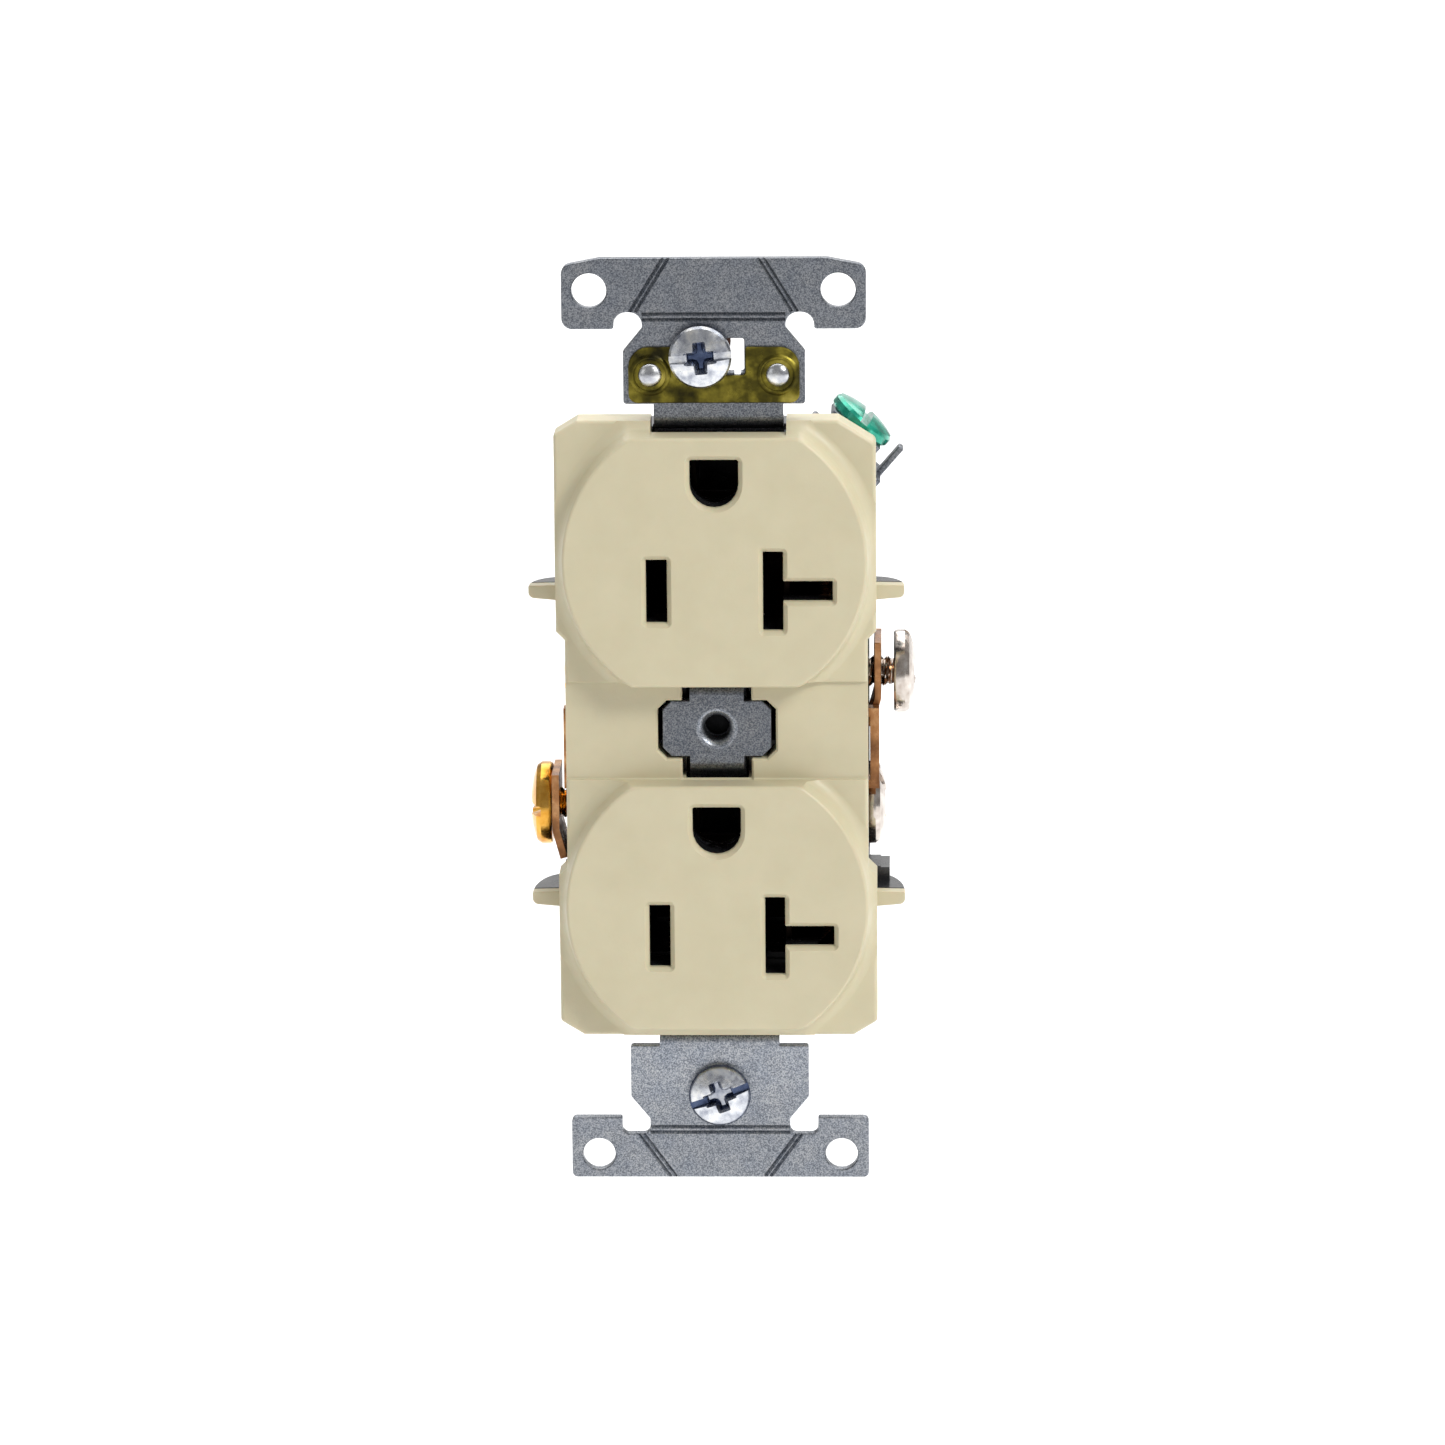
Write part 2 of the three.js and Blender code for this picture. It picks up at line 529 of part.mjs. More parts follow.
for (const [name, side, finish] of [['neutral', 1, FINISH.nickel], ['hot', -1, FINISH.brass]]) {
  ['upper', 'lower'].forEach((level, i) => {
    const key = `${name}_${level}`;
    const headX = clampSeat + BACKED_OUT[key] + CLAMP.thickness + PITCH_GAP;
    const plateX = clampSeat + BACKED_OUT[key] - CLAMP_SLACK[key];
    const turned = new THREE.Group();
    addPart(`${name}_screw_${level}`, screw(TERMINAL, true), ...finish, turned);
    const turn = THREE.MathUtils.degToRad(SLOT_TURN[key]);
    aim(turned, [side, 0, 0], [side * headX, TERMINAL_Y, terminalZ[i]], turn);
    let plate = clampPlate();
    if (side < 0) {
      plate = plate.mirror([1, 0, 0]);
    }
    const mesh = addPart(`${name}_clamp_${level}`, geometryOf(plate), ...finish);
    mesh.position.set(side * plateX, TERMINAL_Y, terminalZ[i]);
  });
}

// Ground screw with its pressure plate, standing on the angled tab
const groundTerminal = new THREE.Group();
const groundScrew = addPart('ground_screw', screw(GROUND, false), ...FINISH.green, groundTerminal);
groundScrew.position.z = -GROUND.rise / 2;
groundScrew.rotation.z = Math.PI / 2;
const groundClampPlate = prism(rectangle(-3.3, 3.3, -3.3, 3.3, 0.5), 'z', 0, CLAMP.thickness);
const groundClamp = cut(groundClampPlate, [prism(circle(GROUND.shank / 2 + RUNNING_GAP), 'z', -1, 2)]);
const groundClampMesh = addPart('ground_clamp', geometryOf(groundClamp), ...FINISH.zinc, groundTerminal);
groundClampMesh.position.z = -GROUND.rise / 2 - PITCH_GAP - CLAMP.thickness;
groundTerminal.applyMatrix4(groundFrame);
group.add(groundTerminal);

// Mounting screws, each kept in the strap by a fibre washer on its shank
for (const [level, up, x, seat] of [['upper', 1, UPPER_SCREW_OFFSET, CLIP.thickness], ['lower', -1, 0, 0]]) {
  const headY = -STRAP_THICKNESS - seat - PITCH_GAP;
  const turned = new THREE.Group();
  addPart(`mounting_screw_${level}`, screw(MOUNTING, true), ...FINISH.steel, turned);
  aim(turned, [0, -1, 0], [x, headY, up * screwZ], THREE.MathUtils.degToRad(up > 0 ? 5 : 20));
  const disc = (radius, grow) => prism(
    circle(radius, x, up * screwZ), 'y', RETAINER.front - grow, RETAINER.front + RETAINER.thickness + grow,
  );
  const washer = cut(disc(RETAINER.radius, 0), [disc(MOUNTING.shank / 2 + PITCH_GAP, 1)]);
  addPart(`screw_retainer_${level}`, geometryOf(washer), ...FINISH.fibre);
}

// ---------------------------------------------------------------- contacts

// Terminal strip of one side: two terminal plates on the body's side, joined only by the break-off
// link in front of them, each with a bus plate behind and the leaves that grip the blades.
function contactStrip(side, linkStandOff) {
  const x = (low, high) => sideRange(side, low, high);
  const padInner = padFaceX - BUS_THICKNESS;
  const bladeX = BLADE_SPACING / 2;
  const leafOuter = bladeX + LEAF_GAP / 2 + LEAF_THICKNESS;
  const leafInner = bladeX - LEAF_GAP / 2 - LEAF_THICKNESS;
  const front = TERMINAL_Y - CLAMP.width / 2;
  const leafFront = -COVER_SHOULDER + 0.9;
  const busFront = busBack - BUS_THICKNESS;
  const linkZ = [terminalZ[0] - 3.94, terminalZ[1] + 2.96];
  const linkY = [bodyFront + 0.6, bodyFront + 2.4];
  const linkX = [waistHalf + linkStandOff, waistHalf + linkStandOff + BUS_THICKNESS];
  const parts = [box(x(...linkX), linkY, [linkZ[1], linkZ[0] + 1.0])];
  terminalZ.forEach((z, i) => {
    const plateZ = [z - CLAMP.bend - CLAMP.wing - 0.4, z + 3.9];
    const armReach = side > 0 ? bladeX + NEUTRAL_ARM[0] - 0.5 : leafOuter;
    const leafZ = [slotZ[i] - LEAF_WIDTH / 2, slotZ[i] + LEAF_WIDTH / 2];
    const bridgeZ = [Math.min(plateZ[0], leafZ[0]), Math.max(plateZ[1], leafZ[1])];
    parts.push(
      box(x(padInner, padFaceX), [front, busBack], plateZ),
      box(x(padInner, linkX[1]), linkY, [linkZ[i], linkZ[i] + 1.0]),
      box(x(padInner, padFaceX), [linkY[0], front + 1], [linkZ[i], linkZ[i] + 1.0]),
      box(x(leafInner, padFaceX), [busFront, busBack], plateZ),
      box(x(leafInner, armReach), [busFront, busBack], bridgeZ),
      box(x(leafInner, leafInner + LEAF_THICKNESS), [leafFront, busBack], leafZ),
      box(x(leafOuter - LEAF_THICKNESS, leafOuter), [leafFront, busBack], leafZ),
    );
    if (side > 0) {
      for (const up of [-1, 1]) {
        const z0 = slotZ[i] + up * (LEAF_GAP / 2 + LEAF_THICKNESS / 2);
        const armZ = [z0 - LEAF_THICKNESS / 2, z0 + LEAF_THICKNESS / 2];
        parts.push(box([leafOuter + 0.3, armReach], [leafFront, busBack], armZ));
      }
    }
  });
  const holes = terminalZ.map((z) => (
    prism(circle(TERMINAL.shank / 2 + RUNNING_GAP, TERMINAL_Y, z), 'x', -COVER_WIDTH, COVER_WIDTH)));
  return cut(join(parts), holes);
}

addPart('neutral_contact_strip', geometryOf(contactStrip(1, 0.2)), ...FINISH.nickel);
addPart('hot_contact_strip', geometryOf(contactStrip(-1, -0.5)), ...FINISH.brass);

// Ground contact: a base behind the strap, with two leaves either side of the pin
function groundContact(z) {
  const rivetZ = z - GROUND_HOLE / 2 - GROUND_RIVET.drop;
  const leafX = [groundLeaf, groundLeaf + LEAF_THICKNESS];
  const front = runBack + CONTACT_GAP;
  const baseZ = [z - contactHole - 3.4, z + contactHole];
  const base = box([-leafX[1], leafX[1]], [front, front + LEAF_THICKNESS], baseZ);
  const leaves = [-1, 1].map((side) => (
    box(sideRange(side, ...leafX), [front, POCKET_DEPTH - 0.7], [z - 2.6, z + 2.8])));
  const tools = [
    box([-groundLeaf, groundLeaf], [0, BODY_DEPTH], [z - 2.4, z + contactHole + 1]),
    prism(circle(GROUND_RIVET.shank + RIVET_CLEARANCE, 0, rivetZ), 'y', 0, BODY_DEPTH),
  ];
  return cut(join([base, ...leaves]), tools);
}

['upper', 'lower'].forEach((level, i) => {
  addPart(`ground_contact_${level}`, geometryOf(groundContact(groundZ[i])), ...FINISH.brass);
  const grip = STRAP_THICKNESS + LEAF_THICKNESS + 4 * CONTACT_GAP;
  const mesh = addPart(`ground_rivet_${level}`, rivet(GROUND_RIVET, grip), ...FINISH.steel);
  mesh.position.set(0, bodyFront - CONTACT_GAP, groundRivetZ[i]);
});

// ---------------------------------------------------------------- front cover

// Front view of the cover or of the body: chamfered corners, sides stepped in beside the terminals
function shellOutline(halfWidth, halfLength, step, corner, groundCorner) {
  const inner = halfWidth - step;
  return outline([
    [-halfWidth + corner[0], -halfLength], [halfWidth - corner[0], -halfLength],
    [halfWidth, -halfLength + corner[1]], [halfWidth, WAIST[0]], [inner, WAIST[0] + step],
    [inner, WAIST[1] - step], [halfWidth, WAIST[1]], [halfWidth, halfLength - groundCorner[1]],
    [halfWidth - groundCorner[0], halfLength], [-halfWidth + corner[0], halfLength],
    [-halfWidth, halfLength - corner[1]], [-halfWidth, WAIST[1]], [-inner, WAIST[1] - step],
    [-inner, WAIST[0] + step], [-halfWidth, WAIST[0]], [-halfWidth, -halfLength + corner[1]],
  ]);
}

// A circle with flats above and below; radius and flats are both grown by the same amount
function flattedOutline(diameter, flats, z, grow = 0) {
  const radius = diameter / 2 + grow;
  const flat = flats / 2 + grow;
  const start = Math.asin(flat / radius);
  const points = [];
  for (const [from, to] of [[-start, start], [Math.PI - start, Math.PI + start]]) {
    for (let k = 0; k <= 16; k += 1) {
      const angle = from + ((to - from) * k) / 16;
      points.push(new THREE.Vector2(radius * Math.cos(angle), z + radius * Math.sin(angle)));
    }
  }
  return new THREE.Shape(points);
}

function groundHoleOutline(z, grow = 0) {
  const radius = GROUND_HOLE / 2 + grow;
  const points = [[radius, z + radius], [-radius, z + radius]].map(([x, y]) => new THREE.Vector2(x, y));
  for (let k = 0; k <= 12; k += 1) {
    const angle = Math.PI + (Math.PI * k) / 12;
    points.push(new THREE.Vector2(radius * Math.cos(angle), z + radius * Math.sin(angle)));
  }
  return new THREE.Shape(points);
}

// Slice of a side fin between two depths. In plan the fin is a quarter of an ellipse, widest at the
// front; seen from the front it tapers to its tip.
function fin(side, level, low, high) {
  const root = coverHalfWidth - 2;
  const tip = coverHalfWidth + FIN_REACH;
  const z = FIN_Z[level];
  const half = FIN_THICKNESS / 2;
  const depth = FIN_BACK[level] - FIN_FRONT;
  const arc = Array.from({ length: 9 }, (_, k) => {
    const angle = (k / 8) * (Math.PI / 2);
    return [side * (coverHalfWidth + FIN_REACH * Math.cos(angle)), FIN_FRONT + depth * Math.sin(angle)];
  });
  const plan = outline([[side * root, FIN_FRONT], ...arc, [side * root, FIN_BACK[level]]]);
  const face = outline([
    [side * root, z - half], [side * tip, z + FIN_TIP[0], 0.6], [side * tip, z + FIN_TIP[1], 0.25],
    [side * root, z + half],
  ]);
  return prism(plan, 'z', z - half, z + half).intersect(prism(face, 'y', low, high));
}

// The openings of one outlet face: both blade slots and the ground hole
function slotTools(i, through) {
  const z = slotZ[i];
  const bladeX = BLADE_SPACING / 2;
  const [hotX, hotZ] = HOT_SLOT.map((size) => size / 2);
  const [neutralX, neutralZ] = NEUTRAL_SLOT.map((size) => size / 2);
  const armZ = NEUTRAL_ARM[1] / 2;
  return [
    box([-bladeX - hotX, -bladeX + hotX], through, [z - hotZ, z + hotZ]),
    box([bladeX - neutralX, bladeX + neutralX], through, [z - neutralZ, z + neutralZ]),
    box([bladeX, bladeX + NEUTRAL_ARM[0]], through, [z - armZ, z + armZ]),
    prism(groundHoleOutline(groundZ[i]), 'y', ...through),
  ];
}

// Rectangle about the origin with its corners cut off
function chamfered(halfX, halfZ, size) {
  return outline([
    [-halfX, size - halfZ], [size - halfX, -halfZ], [halfX - size, -halfZ], [halfX, size - halfZ],
    [halfX, halfZ - size], [halfX - size, halfZ], [size - halfX, halfZ], [-halfX, halfZ - size],
  ]);
}

// Space behind the slots and the ground hole that the contacts and the rivet reach into
function contactPockets(i) {
  const [z, ground, rivetZ] = [slotZ[i], groundZ[i], groundRivetZ[i]];
  const bladeX = BLADE_SPACING / 2;
  const reach = LEAF_GAP / 2 + LEAF_THICKNESS + 0.5;
  const high = [z - LEAF_WIDTH / 2 - 0.5, z + LEAF_WIDTH / 2 + 0.5];
  const deep = [-COVER_SHOULDER + 0.5, INSERT_BACK + 1];
  const rivetRoom = GROUND_RIVET.head + 0.4;
  const rivetDeep = [bodyFront - GROUND_RIVET.rise - 0.7, INSERT_BACK + 1];
  return [
    box([bladeX - reach, bladeX + NEUTRAL_ARM[0]], deep, high),
    box([-bladeX - reach, -bladeX + reach], deep, high),
    box([-contactRoom, contactRoom], deep, [ground - contactRoom, ground + contactRoom]),
    box([-rivetRoom, rivetRoom], rivetDeep, [rivetZ - rivetRoom, rivetZ + rivetRoom]),
  ];
}

function cover() {
  const halfBand = faceZ - FACE_FLATS / 2;
  const outlineOfCover = shellOutline(coverHalfWidth, coverHalfLength, WAIST_STEP, CORNER, GROUND_CORNER);
  const base = prism(outlineOfCover, 'y', -COVER_SHOULDER, COVER_SKIRT);
  const parts = [base];
  for (const z of [faceZ, -faceZ]) {
    const rim = prism(flattedOutline(FACE_DIAMETER, FACE_FLATS, z, RIM.width), 'y', -COVER_SHOULDER, 0);
    parts.push(
      prism(flattedOutline(FACE_DIAMETER, FACE_FLATS, z), 'y', -FACE_FRONT, 0),
      base.intersect(rim).translate([0, -RIM.rise, 0]),
    );
  }
  for (const side of [-1, 1]) {
    for (const level of ['upper', 'lower']) {
      parts.push(fin(side, level, FIN_FRONT, COVER_SKIRT));
    }
  }
  const back = COVER_SKIRT + 1;
  const through = [-FACE_FRONT - 1, back];
  const behind = [-STRAP_THICKNESS - CLEARANCE, back];
  const [padX, padZ] = PAD_SIZE.map((size) => size / 2 + 2 * CLEARANCE);
  const padNeck = PAD_NECK / 2 + 0.85;
  const run = RUN_NARROW / 2 + CLEARANCE;
  const runEnd = PAD_BEND + jog + 0.8;
  const [upperNeck, lowerNeck] = [EAR.upper.neck, EAR.lower.neck].map(([left, right]) => (
    [left - NECK_CLEARANCE, right + NECK_CLEARANCE]));
  const end = coverHalfLength + 1;
  const recessEnd = faceZ + INSERT_FLATS / 2;
  const tools = [
    box([-30, 30], [-FACE_FRONT - 1, COVER_BAND_DROP - COVER_SHOULDER], [-halfBand, halfBand]),
    prism(chamfered(padX, padZ, 1), 'y', ...through),
    box([-padNeck, padNeck], through, [-halfBand, halfBand]),
    box([-run, run], behind, [-runEnd, runEnd]),
    box(upperNeck, through, [coverHalfLength - COVER_NOTCH.front, end]),
    box(upperNeck, [-STRAP_THICKNESS - 0.7, back], [recessEnd, end]),
    box(lowerNeck, behind, [-end, COVER_NOTCH.back - coverHalfLength]),
  ];
  [faceZ, -faceZ].forEach((z, i) => {
    const recess = flattedOutline(INSERT_DIAMETER, INSERT_FLATS, z, INSERT_GAP);
    tools.push(prism(recess, 'y', FACE_THICKNESS - FACE_FRONT, back), ...slotTools(i, through));
  });
  for (const x of [-assemblyX, assemblyX]) {
    for (const z of assemblyZ) {
      tools.push(prism(circle(ASSEMBLY.shank / 2 + 0.1, x, z, 16), 'y', -1.2, back));
    }
  }
  return cut(join(parts), tools);
}

addPart('front_cover', geometryOf(cover()), ...FINISH.ivory);

// Black insert in the recess behind a face; the upper one has a tongue in front of the strap's neck
function slotInsert(i) {
  const z = [faceZ, -faceZ][i];
  const front = FACE_THICKNESS + PITCH_GAP - FACE_FRONT;
  const parts = [prism(flattedOutline(INSERT_DIAMETER, INSERT_FLATS, z), 'y', front, INSERT_BACK)];
  if (i === 0) {
    const [left, right] = EAR.upper.neck;
    const top = faceZ + INSERT_FLATS / 2;
    const width = [left + TONGUE.inset, right - TONGUE.inset];
    parts.push(box(width, [TONGUE.front, INSERT_BACK], [top - 1, top + TONGUE.length]));
  }
  return cut(join(parts), [...slotTools(i, [-FACE_FRONT, INSERT_BACK + 1]), ...contactPockets(i)]);
}

['upper', 'lower'].forEach((level, i) => {
  addPart(`slot_insert_${level}`, geometryOf(slotInsert(i)), ...FINISH.black);
});

// ---------------------------------------------------------------- back body

function backBody() {
  const outlineOfBody = shellOutline(bodyHalfWidth, bodyHalfLength, WAIST_STEP, CORNER, CORNER);
  const frontBlock = prism(outlineOfBody, 'y', bodyFront, BODY_STEP);
  const rearBlock = prism(chamfered(waistHalf, bodyRearHalfLength, 2), 'y', BODY_STEP, BODY_DEPTH);
  // Housing of the upper ground contact, standing past the end of the rear block
  const { half, corner } = HOUSING;
  const housing = prism(outline([
    [-half, 0], [half, 0], [half, bodyHalfLength - corner], [half - corner, bodyHalfLength],
    [corner - half, bodyHalfLength], [-half, bodyHalfLength - corner],
  ]), 'y', BODY_STEP - 1, POCKET_DEPTH + 1);
  const parts = [frontBlock, rearBlock, housing];
  for (const side of [-1, 1]) {
    for (const level of ['upper', 'lower']) {
      parts.push(fin(side, level, bodyFront, FIN_BACK[level]));
    }
  }
  // Two blocks in steps on the neutral side, between the lower fin and the terminal pocket
  const finTop = FIN_Z.lower + FIN_THICKNESS / 2;
  for (const { out, rise } of STEPS) {
    const stepX = [padFaceX, coverHalfWidth + out];
    parts.push(box(stepX, [bodyFront + 3, BODY_STEP + 2], [finTop - 0.5, finTop + rise]));
  }
  const busZ = [
    [terminalZ[0] - CLAMP.bend - CLAMP.wing - 0.8, slotZ[0] + LEAF_WIDTH / 2 + 0.4],
    [slotZ[1] - LEAF_WIDTH / 2 - 0.4, terminalZ[1] + 4.3],
  ];
  const pocketZ = [terminalZ[1] - CLAMP.bend - CLAMP.wing - 0.9, terminalZ[0] + 5.4];
  const deep = [bodyFront - 1, busBack + 0.2];
  const bladeInner = BLADE_SPACING / 2 - LEAF_GAP / 2 - LEAF_THICKNESS - 0.35;
  const armReach = BLADE_SPACING / 2 + NEUTRAL_ARM[0] - 0.2;
  const padInner = padFaceX - BUS_THICKNESS - CLEARANCE;
  const tools = [
    prism(runOutline(CLEARANCE), 'y', bodyFront - 1, runBack + CLEARANCE),
    prism(wingOutline(CLEARANCE), 'y', bodyFront - 1, runBack + CLEARANCE),
    inGroundFrame(rectangle(-30, 30, -30, 30), tabBack - CLEARANCE, 40),
    inGroundFrame(circle(GROUND.shank / 2 + 0.35), groundTip - 0.6, 0),
  ];
  for (const side of [-1, 1]) {
    const x = (low, high) => sideRange(side, low, high);
    tools.push(box(x(padInner, 40), [bodyFront - 1, POCKET_DEPTH], pocketZ));
    for (const z of busZ) {
      tools.push(box(x(bladeInner, armReach), deep, z));
    }
    tools.push(box(x(bladeInner, padFaceX + CLEARANCE), deep, [busZ[0][0], pocketZ[1]]));
    tools.push(box(x(bladeInner, padFaceX + CLEARANCE), deep, [pocketZ[0], busZ[1][1]]));
    for (const z of terminalZ) {
      for (const wire of [-WIRE_HOLE.offset, WIRE_HOLE.offset]) {
        const hole = circle(WIRE_HOLE.radius, side * (padFaceX + WIRE_HOLE.out), z + wire, 16);
        tools.push(prism(hole, 'y', POCKET_DEPTH - 1, BODY_DEPTH + 1));
      }
    }
    for (const z of assemblyZ) {
      const hole = (radius, low) => prism(circle(radius, side * assemblyX, z, 20), 'y', low, BODY_DEPTH + 1);
      tools.push(hole(ASSEMBLY.shank / 2 + 0.25, 0));
      tools.push(hole(ASSEMBLY.head / 2 + 0.25, BODY_DEPTH - ASSEMBLY.rise - 0.4));
    }
  }
  for (const z of groundZ) {
    const contactZ = [z - contactHole - 4.1, z + contactHole + 0.3];
    tools.push(box([-contactRoom, contactRoom], [bodyFront - 1, POCKET_DEPTH - 0.2], contactZ));
  }
  return cut(join(parts), tools);
}

addPart('back_body', geometryOf(backBody()), ...FINISH.black);

// ---------------------------------------------------------------- assembly screws, from the back

for (const [level, z] of [['upper', assemblyZ[0]], ['lower', assemblyZ[1]]]) {
  for (const [name, side] of [['left', -1], ['right', 1]]) {
    const holder = new THREE.Group();
    addPart(`assembly_screw_${level}_${name}`, screw(ASSEMBLY, false), ...FINISH.steel, holder);
    aim(holder, [0, 1, 0], [side * assemblyX, BODY_DEPTH - ASSEMBLY.rise - 0.3, z], side * 0.4);
  }
}

export default group;
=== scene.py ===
"""Duplex wall outlet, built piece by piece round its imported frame. Shapes are worked out in millimetres."""
import math

import bmesh
import bpy
import numpy as np
from mathutils import Matrix, Vector


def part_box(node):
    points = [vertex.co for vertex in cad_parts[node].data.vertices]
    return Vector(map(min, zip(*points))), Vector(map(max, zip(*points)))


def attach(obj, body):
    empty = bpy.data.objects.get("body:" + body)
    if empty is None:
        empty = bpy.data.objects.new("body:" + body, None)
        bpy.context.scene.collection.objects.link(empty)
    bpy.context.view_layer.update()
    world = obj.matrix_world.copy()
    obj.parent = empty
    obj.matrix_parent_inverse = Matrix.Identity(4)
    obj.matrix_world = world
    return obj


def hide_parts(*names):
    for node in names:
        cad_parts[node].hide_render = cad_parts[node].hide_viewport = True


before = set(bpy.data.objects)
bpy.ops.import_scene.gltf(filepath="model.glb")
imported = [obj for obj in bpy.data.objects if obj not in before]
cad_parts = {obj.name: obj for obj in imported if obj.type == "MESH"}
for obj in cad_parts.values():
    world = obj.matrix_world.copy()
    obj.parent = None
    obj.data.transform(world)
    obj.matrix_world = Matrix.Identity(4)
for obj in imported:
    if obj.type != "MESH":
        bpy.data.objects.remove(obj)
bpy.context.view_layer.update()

# Camera: a long lens a little above the outlet and almost square to it, turned by a hair.
CAMERA_AZIMUTH = math.radians(1.833)
CAMERA_ELEVATION = math.radians(13.161)
CAMERA_ROLL = math.radians(0.485)
CAMERA_DISTANCE = 0.7684
CAMERA_LENS = 173.9
CAMERA_SHIFT = (0.0036, 0.0025)
CAMERA_CLIP = (0.01, 20.0)
camera = bpy.data.objects.new("camera", bpy.data.cameras.new("camera"))
bpy.context.scene.collection.objects.link(camera)
bpy.context.scene.camera = camera
camera_back = Vector((
    math.sin(CAMERA_AZIMUTH) * math.cos(CAMERA_ELEVATION),
    -math.cos(CAMERA_AZIMUTH) * math.cos(CAMERA_ELEVATION),
    math.sin(CAMERA_ELEVATION),
))
aim_turn = (-camera_back).to_track_quat("-Z", "Y").to_matrix().to_4x4()
camera.matrix_world = (
    Matrix.Translation(camera_back * CAMERA_DISTANCE) @ aim_turn @ Matrix.Rotation(-CAMERA_ROLL, 4, "Z"))
camera.data.lens = CAMERA_LENS
camera.data.shift_x, camera.data.shift_y = CAMERA_SHIFT
camera.data.clip_start, camera.data.clip_end = CAMERA_CLIP


# ---------------------------------------------------------------------------------------------
# Front cover: one moulding in ivory thermoplastic, with two raised faces on a thin shell. Its
# edges are rounded by the mould, each face's wall runs into the shell in a cove, and the slots
# have a bevelled rim. Two curved fins stick out on each side.

def ring(corners, grow=0.0, sides=6):
    """Closed outline in a plane: each edge is moved outwards by grow, and each corner (u, v, radius)
    becomes an arc of that radius plus grow, or minus grow where the outline turns inwards."""
    corners = np.array(corners, float)
    at, radius = corners[:, :2], corners[:, 2]
    step = np.roll(at, -1, 0) - at
    along = step / np.linalg.norm(step, axis=1, keepdims=True)
    out = np.stack([along[:, 1], -along[:, 0]], 1)
    before, before_out = np.roll(along, 1, 0), np.roll(out, 1, 0)
    cross = before[:, 0] * along[:, 1] - before[:, 1] * along[:, 0]
    turn = np.arctan2(cross, (before * along).sum(1))
    moved = at + grow * (out + before_out) / (1 + (out * before_out).sum(1, keepdims=True))
    radius = np.maximum(radius + grow * np.sign(turn), 0.01)
    start = moved - before * (radius * np.tan(abs(turn) / 2))[:, None]
    spoke = before_out * (radius * np.sign(turn))[:, None]
    angle = turn[:, None] * np.linspace(0, 1, sides + 1)
    cos, sin = np.cos(angle), np.sin(angle)
    turned = [spoke[:, :1] * cos - spoke[:, 1:] * sin, spoke[:, :1] * sin + spoke[:, 1:] * cos]
    return ((start - spoke)[:, None] + np.stack(turned, 2)).reshape(-1, 2)


def rectangle(u, v, radius):
    """The four corners of a rectangle between the two u and the two v."""
    return [(u[0], v[0], radius), (u[1], v[0], radius), (u[1], v[1], radius), (u[0], v[1], radius)]


def stacked(outline, profile, axes=(0, 2, 1)):
    """Grid of an outline carried along an axis: row k is outline(grow) at a level, for profile's
    pairs (grow, level). axes says which of x, y, z the outline's two sides and the level are."""
    rows = [np.c_[outline(grow), np.full(len(outline(grow)), level)] for grow, level in profile]
    grid = np.array(rows)
    return grid[:, :, np.argsort(axes)]


def round_edge(radius, level, sides=5):
    """Quarter circle from the end face at that level, curving over into the side."""
    angle = np.linspace(0, math.pi / 2, sides + 1)
    return list(zip(radius * (np.sin(angle) - 1), level + radius * (1 - np.cos(angle))))


def cove(radius, start, level, sides=6):
    """Hollow quarter circle that carries a side at grow start out into the plane at that level."""
    angle = np.linspace(0, math.pi / 2, sides + 1)
    return list(zip(start + radius * (1 - np.cos(angle)), level - radius * (1 - np.sin(angle))))


def skin(name, *grids):
    """Closed mesh in millimetres: neighbouring rows of each grid are joined by quads round the loop,
    and the first and last rows are capped. Points that fall together are merged."""
    corners, faces, count = [], [], 0
    for grid in grids:
        rows, columns = grid.shape[:2]
        index = count + np.arange(rows * columns).reshape(rows, columns)
        near, far = index[:-1], index[1:]
        quads = np.stack([near, far, np.roll(far, -1, 1), np.roll(near, -1, 1)], -1)
        faces += quads.reshape(-1, 4).tolist() + [index[0].tolist(), index[-1][::-1].tolist()]
        corners.append(grid.reshape(-1, 3))
        count += rows * columns
    mesh = bpy.data.meshes.new(name)
    mesh.from_pydata(np.concatenate(corners).tolist(), [], faces)
    work = bmesh.new()
    work.from_mesh(mesh)
    bmesh.ops.remove_doubles(work, verts=work.verts, dist=0.002)
    bmesh.ops.recalc_face_normals(work, faces=work.faces)
    work.to_mesh(mesh)
    work.free()
    made = bpy.data.objects.new(name, mesh)
    bpy.context.scene.collection.objects.link(made)
    return made


def combined(base, others, operation):
    """Base joined to, cut by or kept within the other solids, which are then removed."""
    for other in others:
        step = base.modifiers.new("solid", "BOOLEAN")
        step.operation, step.solver, step.object = operation, "EXACT", other
    seen = base.evaluated_get(bpy.context.evaluated_depsgraph_get())
    mesh = bpy.data.meshes.new_from_object(seen)
    base.modifiers.clear()
    base.data = mesh
    for other in others:
        bpy.data.objects.remove(other)
    return base


def finished(piece, material, slot, body, nodes, crease=32.0):
    """Brings a piece to metres, smooths it up to the crease angle, gives it its finish, and puts it
    in its CAD nodes' place on their body."""
    mesh = piece.data
    mesh.transform(Matrix.Scale(0.001, 4))
    mesh.polygons.foreach_set("use_smooth", np.ones(len(mesh.polygons), bool))
    mesh.set_sharp_from_angle(angle=math.radians(crease))
    mesh.materials.clear()
    mesh.materials.append(material)
    even = piece.modifiers.new("even", "WEIGHTED_NORMAL")
    even.keep_sharp, even.weight = True, 80
    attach(piece, body)
    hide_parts(*nodes)
    return piece


def millimetres(node):
    """The lowest and highest corner of a CAD node, in millimetres."""
    return [np.array(corner) * 1000 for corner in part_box(node)]


